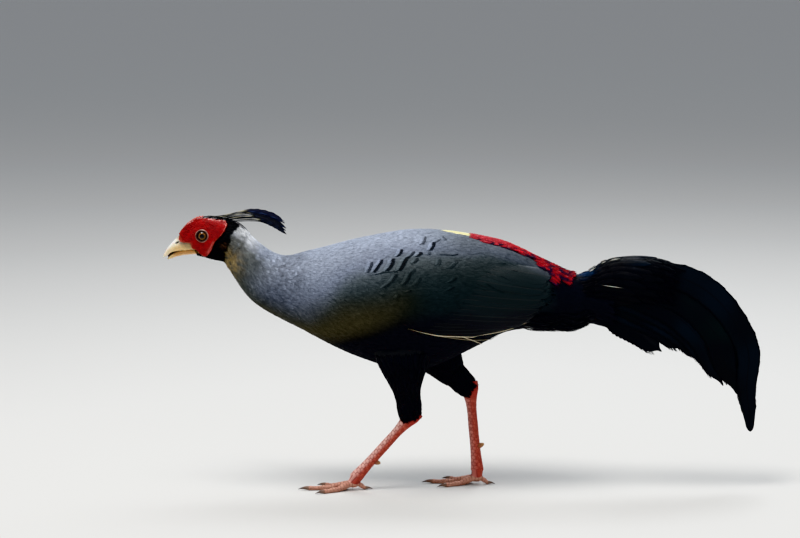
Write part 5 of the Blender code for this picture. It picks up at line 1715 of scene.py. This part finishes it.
# Painted highlights on the edges of a few coverts as the photo shows them, how pale each is and its
# thickness.
COVERT_GLINTS = [
    ([(590, 273.4), (593, 271.4), (597, 268.8)], 1.0, 0.7),
    ([(602, 265.2), (604.4, 264), (607, 263)], 0.7, 0.6),
    ([(609.5, 262.6), (615, 261.2), (621, 260.4)], 0.8, 0.7),
    ([(601, 285), (612, 286.4), (624, 288)], 0.75, 0.5),
]


COVERT_GLINT_LIFT = 2.3


def covert_coat():
    """Narrow black feathers over the front of the coverts, with a blue glow at the rump."""
    cover = Loft(TAIL_COVER[::-1] + [(119, 228.6, 119, 186, 18.0)], rear_way=(0.8, 0, -0.6))
    s, a = scatter(cover, 34, cover.length - 1.5, 2.9, 2.7, arc=(-114, 114))
    points = cover.point(s, a)
    colour = varied(rgb(4, 4, 8), len(s), 0.25)
    glow = ease(134, 122, points[:, 0]) * ease(48, 22, np.abs(a)) * RANDOM.uniform(0.2, 1, len(s))
    colour = np.clip(mix(colour, rgb(12, 56, 104), 0.55 * glow), 0, 1)
    length = RANDOM.uniform(15, 26, len(s)) * np.interp(points[:, 0], (119, 140), (0.6, 1.0))
    lifts = (-1.3, 0.9 + RANDOM.uniform(-0.3, 0.8, len(s)) * ease(cover.length, cover.length - 26, s))
    drift = a / 90 * 1.5 + RANDOM.normal(0, 0.8, len(s))
    return coat(cover, s, a, length, COVERT_WIDTH, lifts, colour, drift, COVERT_BARBS, 0.2)


def covert_highlights():
    """Painted highlights on the edges of a few coverts, as thin lines on both sides."""
    batches = []
    cover = Loft(TAIL_COVER)
    for pixels, level, thick in COVERT_GLINTS:
        u, x, z = seen_line(pixels, 24, cover)
        spine = cover.point(*cover.locate(x, z), COVERT_GLINT_LIFT)
        half = thick * np.sin(math.pi * np.clip(u, 0.06, 0.94)) ** 0.6
        colours = mix(rgb(16, 18, 26), rgb(196, 196, 186), level * np.sin(math.pi * u))
        batch = line_batch(u, spine, half, 0.3, colours)
        batches += [batch, batch.mirrored()]
    return batches


TAIL_BLOCK = [(170, 213, 168, 190, 7), (150, 213, 150, 180, 13), (132.3, 210, 132.3, 178, 13.8)]


def tail_block():
    """The closed root that carries the tail feathers, under the coverts."""
    loft = Loft(TAIL_BLOCK)
    block = tube_batch(loft.point(*ring_grid(0, loft.length, 16, 40)), rgb(4, 4, 8), (0.5, 0.5))
    s, a = scatter(loft, 2, loft.length - 4, 2.8, 2.6)
    colour = varied(rgb(4, 5, 9), len(s), 0.2)
    lifts = (-0.8, RANDOM.uniform(0.4, 1.6, len(s)))
    length = np.minimum(RANDOM.uniform(14, 22, len(s)), s + 6)
    drift = RANDOM.normal(0, 0.6, len(s))
    return [block, feather_batch(loft, s, a, length, TAIL_ROOT_WIDTH, lifts, colour, drift)]


# Legs


def thigh_coat(name):
    """Blue-black feathers that run down the thigh to a neat end at the hock."""
    limb = THIGHS[name]
    s, a = scatter(limb, 1.5, limb.length * 0.99, 2.7, 2.6)
    colour = varied(BLUE_BLACK * 0.7, len(s), 0.2)
    length = np.interp(s, (0, 20, 60), (5.0, 12, 16)) * RANDOM.uniform(0.85, 1.15, len(s))
    width = np.interp(s, (0, 40), (3.0, 5.6))
    tip = 0.5 + RANDOM.uniform(-0.2, 0.8, len(s)) * ease(0, 18, s)
    lifts = (-1.0, tip)
    drift = RANDOM.normal(0, 0.7, len(s))
    return coat(limb, s, a, length, width, lifts, colour, drift, THIGH_BARBS, 0.4)


def sweep(path, wide, deep, sides, front=(-1, 0, 0), first=None, last=None):
    """A tube along a path: wide is the radius across and deep the radius towards front."""
    path = np.asarray(path, float)
    along = unit(np.gradient(path, axis=0))
    if first is not None:
        along[0] = unit(np.array(first, float))
    if last is not None:
        along[-1] = unit(np.array(last, float))
    front = np.array(front, float)
    deep_side = unit(front - (along @ front)[:, None] * along)
    wide_side = np.cross(along, deep_side)
    a = np.arange(sides) * math.tau / sides
    wide, deep = (np.broadcast_to(np.asarray(v, float), len(path))[:, None] for v in (wide, deep))
    return path[:, None] + (deep * np.cos(a))[..., None] * deep_side[:, None] + \
        (wide * np.sin(a))[..., None] * wide_side[:, None]


def toe_way(heading):
    return np.array((math.cos(math.radians(heading)), math.sin(math.radians(heading)), 0))


def toe_list(leg):
    front = [(leg["heading"] + turn, length, False) for turn, length in FRONT_TOES]
    return [(leg["hind_heading"], HIND_TOE, True)] + front


def toe_radius(f, rear):
    start, end = (3.0, 2.0) if rear else (3.7, 2.4)
    return start + (end - start) * f + 0.2 * np.cos(f * math.tau * 3)


def toe_path(leg, heading, length, rear, f):
    """The middle line and the radii of a toe at shares f of its length."""
    radius = toe_radius(f, rear)
    path = np.array(leg["foot"], float) + toe_way(heading) * (f * length)[:, None]
    arch = (0.45, 1) if rear else (0.1, 0.55)
    path[:, 2] = np.interp(f, arch, (TOE_ROOT_HEIGHT, 0)) + TOE_PRESS * radius
    return path, radius


def shank_axis(leg, f):
    hock = np.array(leg["hock"], float)
    return hock + (np.array(leg["ankle"], float) - hock) * f[:, None]


def bare_leg(name, leg):
    """Shank, foot and toes in one closed surface, then scutes and scales raised on it."""
    run = np.linspace(0, 1, 60) * 1.1 - 0.1
    path = shank_axis(leg, run)
    run = np.clip(run, 0, 1)
    wide = smooth_curve(SHANK_AT, SHANK_WIDE, run) * 1.06
    deep = smooth_curve(SHANK_AT, SHANK_DEEP, run) * 1.1
    tubes = [sweep(path, wide, deep, 36, last=leg["ankle_way"])]
    ankle = np.array(leg["ankle"], float)
    middle = np.array(leg["foot"], float)
    lift = unit(np.array(leg["ankle_way"], float))
    foot_path = np.array([ankle - lift * 1.5, ankle * 0.5 + middle * 0.5, middle, middle - (0, 0, 3.0)])
    tubes.append(sweep(foot_path, FOOT_WIDE, FOOT_DEEP, 36, first=leg["ankle_way"]))
    for heading, length, rear in toe_list(leg):
        path, radius = toe_path(leg, heading, length, rear, np.linspace(0, 1, 40))
        way = toe_way(heading)
        rings = sweep(path, radius, radius, 28, front=(0, 0, 1), first=way, last=way)
        rings[..., 2] = np.maximum(rings[..., 2], 0.0)
        tubes.append(rings)
    made = fused(f"bare_leg_{name}", tubes, *LEG_FUSION)
    scale_relief(made, leg)
    return made


def segment_place(points, start, end):
    """Share along a segment and distance from it, for each point."""
    way = end - start
    f = np.clip(((points - start) @ way) / (way @ way), 0, 1)
    return f, points - start - f[:, None] * way


# Lengths in mm of the front scutes and the small scales, on the shank and on the toes.
SHANK_SCUTE = 3.4
SHANK_SCALE = 2.1
TOE_SCUTE = 3.3
TOE_SCALE = 1.7


def scale_relief(mesh, leg):
    """Raise plates over the shank and toes and colour them by plate."""
    place = vertex_values(mesh, "co") / MILLIMETRE
    normal = vertex_values(mesh, "normal")
    hock = np.array(leg["hock"], float)
    ankle = np.array(leg["ankle"], float)
    axis = unit(ankle - hock)
    front = unit(np.array((-1.0, 0, 0)) - axis[0] * -1 * axis)
    side = np.cross(axis, front)
    f, away = segment_place(place, hock, ankle)
    best = np.linalg.norm(away, axis=1) / 5.0
    length = np.linalg.norm(ankle - hock)
    turn = np.arctan2(away @ side, away @ front)
    run = f * length
    _, gap_big, label_big = plates(turn / math.tau * 5.4 + 0.25, run / SHANK_SCUTE + 0.3 * turn, 0.1, 2)
    _, gap_small, label_small = plates(turn / math.tau * 14, run / SHANK_SCALE, 0.5, 4)
    is_front = ease(2.2, 1.5, np.abs(turn))
    edge = gap_big * is_front + gap_small * 0.9 * (1 - is_front)
    label = np.where(is_front > 0.5, label_big, label_small)
    height = 0.34 * ease(0.0, 0.17, edge) - 0.2
    on_toe = np.zeros(len(place))
    for heading, reach, _ in toe_list(leg):
        start = np.array(leg["foot"], float)
        end = start + toe_way(heading) * reach
        start = start * (1, 1, 0) + (0, 0, 3.2)
        end = end * (1, 1, 0) + (0, 0, 2.4)
        g, off = segment_place(place, start, end)
        far = np.linalg.norm(off, axis=1) / 3.6
        across = np.cross(toe_way(heading), (0, 0, 1))
        spin = np.arctan2(off @ across, off[:, 2])
        _, small_gap, small_label = plates(spin * 3.2 / TOE_SCALE, g * reach / TOE_SCALE, 0.5, 6)
        band = (g * reach / TOE_SCUTE) % 1
        band_gap = np.minimum(band, 1 - band)
        top = ease(1.25, 0.85, np.abs(spin))
        toe_edge = band_gap * top + small_gap * (1 - top)
        toe_height = (0.36 * ease(0.0, 0.16, toe_edge) - 0.2) * ease(2.6, 2.2, np.abs(spin))
        cells = np.stack([np.floor(g * reach / TOE_SCUTE), 0 * g + heading, 0 * g], -1)
        toe_label = np.where(top > 0.5, lattice(cells, 5), small_label)
        closer = (far < best) & (place[:, 2] < 13)
        height = np.where(closer, toe_height, height)
        edge = np.where(closer, toe_edge, edge)
        label = np.where(closer, toe_label, label)
        is_front = np.where(closer, top, is_front)
        on_toe = np.where(closer, 1.0, on_toe)
        best = np.where(closer, far, best)
    height = height * ease(0.0, 0.6, place[:, 2])
    moved = place + normal * height[:, None]
    moved[:, 2] = np.maximum(moved[:, 2], 0.0)
    mesh.vertices.foreach_set("co", (moved * MILLIMETRE).astype(np.float32).ravel())
    mesh.update()
    # lit: the front of the shank painted paler as a highlight, scaled by each leg's pale
    lit = ease(1.9, 0.5, np.abs(turn)) * (1 - on_toe)
    plate = mix(rgb(168, 58, 44), rgb(198, 96, 78), label)
    plate = mix(plate, rgb(238, 194, 182), lit * (0.72 + 0.25 * label) * leg["pale"])
    dusty = mix(plate, rgb(198, 152, 130), (0.66 + 0.2 * label) * on_toe)
    seam = mix(rgb(126, 30, 24), rgb(104, 66, 52), on_toe)
    seam = mix(seam, rgb(184, 96, 82), 0.7 * lit * leg["pale"])
    colour = mix(seam, dusty, ease(0.01, 0.11, edge))
    colour = mix(colour, rgb(110, 84, 68), 0.6 * ease(1.5, 0.2, place[:, 2]))
    colour = mix(colour, rgb(176, 44, 36), 0.6 * ease(12, 3, run) * (on_toe < 0.5))
    colour_mesh(mesh, colour)


def horn_tube(path, wide, deep, front, colour_root, colour_tip, first=None):
    """A curved tapering horn piece with growth rings."""
    fine = np.linspace(0, 1, 40)
    knots = np.linspace(0, 1, len(path))
    spine = smooth_curve(knots, path, fine)
    ring = 1 + 0.02 * np.sin(fine * 55)
    w = smooth_curve(knots, wide, fine) * ring
    d = smooth_curve(knots, deep, fine) * ring
    rings = sweep(spine, w, d, 28, front=front, first=first)
    colour = mix(colour_root, colour_tip, ease(0.1, 0.9, fine))[:, None] + 0 * rings
    a = np.arange(28) / 28
    vane = np.stack(np.broadcast_arrays(fine[:, None], np.abs(a * 2 - 1)), -1)
    return rings, colour, vane


# Radii along a claw against the end of its toe, and along a spur.
CLAW_TAPER = np.array((0.85, 0.74, 0.52, 0.28, 0.05))
SPUR_RADII = (3.4, 3.3, 2.9, 2.4, 1.8, 0.8)


def claw(leg, heading, length, rear):
    way = toe_way(heading)
    end = np.array(leg["foot"], float) + way * (length - 1.2)
    end[2] = TOE_PRESS * toe_radius(1.0, rear) + 0.3
    u = np.linspace(0, 1, 5)[:, None]
    size = CLAW_LENGTH * (HIND_CLAW if rear else 1) + 1.2
    path = end + way * u * size + np.array((0, 0, 1)) * (2.2 * u - 3.2 * u * u)
    radius = toe_radius(1.0, rear) * CLAW_TAPER
    rings, colour, vane = horn_tube(path, radius * 0.8, radius, (0, 0, 1), rgb(140, 108, 90), rgb(72, 56, 48),
                                    first=way)
    rings[..., 2] = np.maximum(rings[..., 2], 0.2)
    return tube_batch(rings, colour, vane)


def spur(leg):
    hock = np.array(leg["hock"], float)
    horn_way = np.array(leg["ankle"], float) - hock
    along = unit(horn_way)
    back = unit(np.array((1.0, 0, 0)) - along[0] * along)
    inward = np.array((0, -0.25 * np.sign(hock[1]), 0))
    root = hock + horn_way * SPUR_AT + back * 2.6
    u = np.linspace(0, 1, 6)[:, None]
    path = root + (back + inward) * u * (SPUR_LENGTH - 1.1) - along * u * u * SPUR_RISE
    return tube_batch(*horn_tube(path, SPUR_RADII, SPUR_RADII, along, rgb(150, 66, 48), rgb(176, 128, 80)))


# Scene


PHOTO_SIZE = (800, 538)
PIXEL = 1.05
ORIGIN_PIXEL = (462, 491)
CAMERA_DISTANCE = 3.2
CAMERA_ELEVATION = math.degrees(math.atan(0.135))
FLOOR_HALF = 14.0
FLOOR_COLOUR = (0.66, 0.65, 0.63, 1)
SKY_COLOUR = (0.84, 0.89, 0.96, 1)
SKY_STRENGTH = 0.45
SENSOR_WIDTH = 36
LAMP_TARGET = (0, 0, 0.17)
# Each lamp: name, place in metres, watts, width in metres and colour.
LAMPS = [
    ("key", (-0.5, -0.6, 2.4), 52, 1.2, (1.0, 0.98, 0.95)),
    ("fill", (1.8, -2.6, 1.2), 8, 1.6, (0.88, 0.94, 1.0)),
    ("back", (0.6, 1.2, 2.1), 26, 1.2, (0.95, 0.98, 1.0)),
]


def seen_at(pixels, shape=None):
    """The x and z on the left side of the trunk, or of a shape, of places in the photo."""
    px, py = np.array(pixels, float).T
    across = (px - PHOTO_SIZE[0] / 2) * PIXEL
    up = (PHOTO_SIZE[1] / 2 - py) * PIXEL
    tilt = math.radians(CAMERA_ELEVATION)
    distance = CAMERA_DISTANCE / MILLIMETRE
    y = np.full(len(px), -45.0)
    for _ in range(4):
        rise = up * (1 + y * math.cos(tilt) / distance) - y * math.sin(tilt)
        rise = rise / (math.cos(tilt) + up * math.sin(tilt) / distance)
        near = 1 + (y * math.cos(tilt) - rise * math.sin(tilt)) / distance
        x = (PHOTO_SIZE[0] / 2 - ORIGIN_PIXEL[0]) * PIXEL + across * near
        z = (ORIGIN_PIXEL[1] - PHOTO_SIZE[1] / 2) * PIXEL + rise
        if shape is None:
            y = BODY.point(*BODY.locate(x, z), wing_lift(x, z))[:, 1]
        else:
            y = shape.point(*shape.locate(x, z))[:, 1]
    return x, z


def studio():
    """Pale floor, soft lights and the camera."""
    mesh = bpy.data.meshes.new("floor")
    corners = [(x * FLOOR_HALF, y * FLOOR_HALF, 0) for x, y in ((-1, -1), (1, -1), (1, 1), (-1, 1))]
    mesh.from_pydata(corners, [], [(0, 1, 2, 3)])
    floor = bpy.data.objects.new("floor", mesh)
    mesh.materials.append(new_material("floor", 0.9, Base_Color=FLOOR_COLOUR)[0])
    bpy.context.scene.collection.objects.link(floor)
    world = bpy.data.worlds.new("studio")
    world.use_nodes = True
    sky = world.node_tree.nodes["Background"].inputs
    sky["Color"].default_value = SKY_COLOUR
    sky["Strength"].default_value = SKY_STRENGTH
    bpy.context.scene.world = world
    bpy.context.scene.view_settings.view_transform = "Khronos PBR Neutral"
    for name, place, power, width, colour in LAMPS:
        light = bpy.data.lights.new(name, "AREA")
        light.energy = power
        light.size = width
        light.color = colour
        lamp = bpy.data.objects.new(name, light)
        lamp.location = place
        lamp.rotation_euler = (Vector(LAMP_TARGET) - Vector(place)).to_track_quat("-Z", "Y").to_euler()
        bpy.context.scene.collection.objects.link(lamp)
    camera = bpy.data.cameras.new("camera")
    camera.sensor_width = SENSOR_WIDTH
    camera.lens = SENSOR_WIDTH * CAMERA_DISTANCE / (PHOTO_SIZE[0] * PIXEL * MILLIMETRE)
    eye_point = bpy.data.objects.new("camera", camera)
    target = Vector(((PHOTO_SIZE[0] / 2 - ORIGIN_PIXEL[0]) * PIXEL * MILLIMETRE, 0,
                     (ORIGIN_PIXEL[1] - PHOTO_SIZE[1] / 2) * PIXEL * MILLIMETRE))
    tilt = math.radians(CAMERA_ELEVATION)
    eye_point.location = target + Vector((0, -math.cos(tilt), math.sin(tilt))) * CAMERA_DISTANCE
    eye_point.rotation_euler = (math.pi / 2 - tilt, 0, 0)
    bpy.context.scene.collection.objects.link(eye_point)
    bpy.context.scene.camera = eye_point


def build():
    m = make_materials()
    studio()
    finish_piece("plumage_skin", skin(), m["skin"],
                 ("torso", "neck", "head", "rump", "thigh_left", "thigh_right"))
    for name, batches in body_coat().items():
        make_piece(name, batches, m["grey"], soft=0.85)
    make_piece("coat_head", head_coat(), m["black"], soft=0.3)
    plumes, pad = crest()
    make_piece("crest_plumes", plumes, m["crest"], ("crest",))
    make_piece("crest_base", pad, m["black"])
    vanes = wing_vanes()
    shafts = wing_shafts()
    bars = wing_bars()
    core = wing_core()
    for side, name in ((-1, "left"), (1, "right")):
        def turned(items):
            return items if side < 0 else [item.mirrored() for item in items]
        make_piece(f"wing_vanes_{name}", turned(vanes), m["wing"], (f"wing_{name}",))
        make_piece(f"wing_shafts_{name}", turned(shafts), m["claw"])
        make_piece(f"wing_bars_{name}", turned(bars), m["bars"], soft=0.5)
        make_piece(f"wing_core_{name}", turned([core]), m["skin"])
        make_piece(f"facial_skin_{name}", [face_red(side)], m["face"], (f"face_{name}",))
        make_piece(f"eyelids_{name}", [lid(side)], m["lid"])
        make_piece(f"eyeball_{name}", [eye(side)], m["eye"], (f"eye_{name}",))
    upper = Loft(BILL_UPPER_ROOT + BILL_UPPER, 0.25)
    lower = Loft(BILL_LOWER_ROOT + BILL_LOWER, 0.7)
    mandibles = (bill_surface(upper, BILL_UPPER_GRID, True), bill_surface(lower, BILL_LOWER_GRID, False))
    for name, mandible in zip(("upper", "lower"), mandibles):
        make_piece(f"mandible_{name}", [mandible], m["bill"], (f"bill_{name}",))
    make_piece("mouth_lining", [mouth_lining()], m["bill"])
    make_piece("coat_rump", rump_coat(), m["red"], soft=0.3)
    make_piece("coat_vent", vent_coat(), m["black"], ("vent_coverts",))
    tail_root = tail_block()
    make_piece("tail_feathers", tail_vanes() + tail_root[:1], m["tail"], ("tail",))
    make_piece("coat_tail_root", tail_root[1:], m["black"])
    make_piece("tail_barbs", tail_barbs(), m["tail"])
    make_piece("tail_covert_feathers", covert_vanes(), m["tail"], ("tail_coverts",))
    make_piece("coat_tail_coverts", covert_coat(), m["black"], soft=0.4)
    make_piece("covert_edge_highlights", covert_highlights(), m["claw"])
    for name, leg in LEGS.items():
        make_piece(f"coat_thigh_{name}", thigh_coat(name), m["black"])
        finish_piece(f"bare_leg_{name}", bare_leg(name, leg), m["leg"],
                     (f"shank_{name}", f"foot_{name}"))
        make_piece(f"spur_horn_{name}", [spur(leg)], m["claw"], (f"spur_{name}",))
        for number, (heading, length, rear) in enumerate(toe_list(leg), start=1):
            make_piece(f"claw_horn_{name}_{number}", [claw(leg, heading, length, rear)], m["claw"],
                       (f"claw_{name}_{number}",))


build()
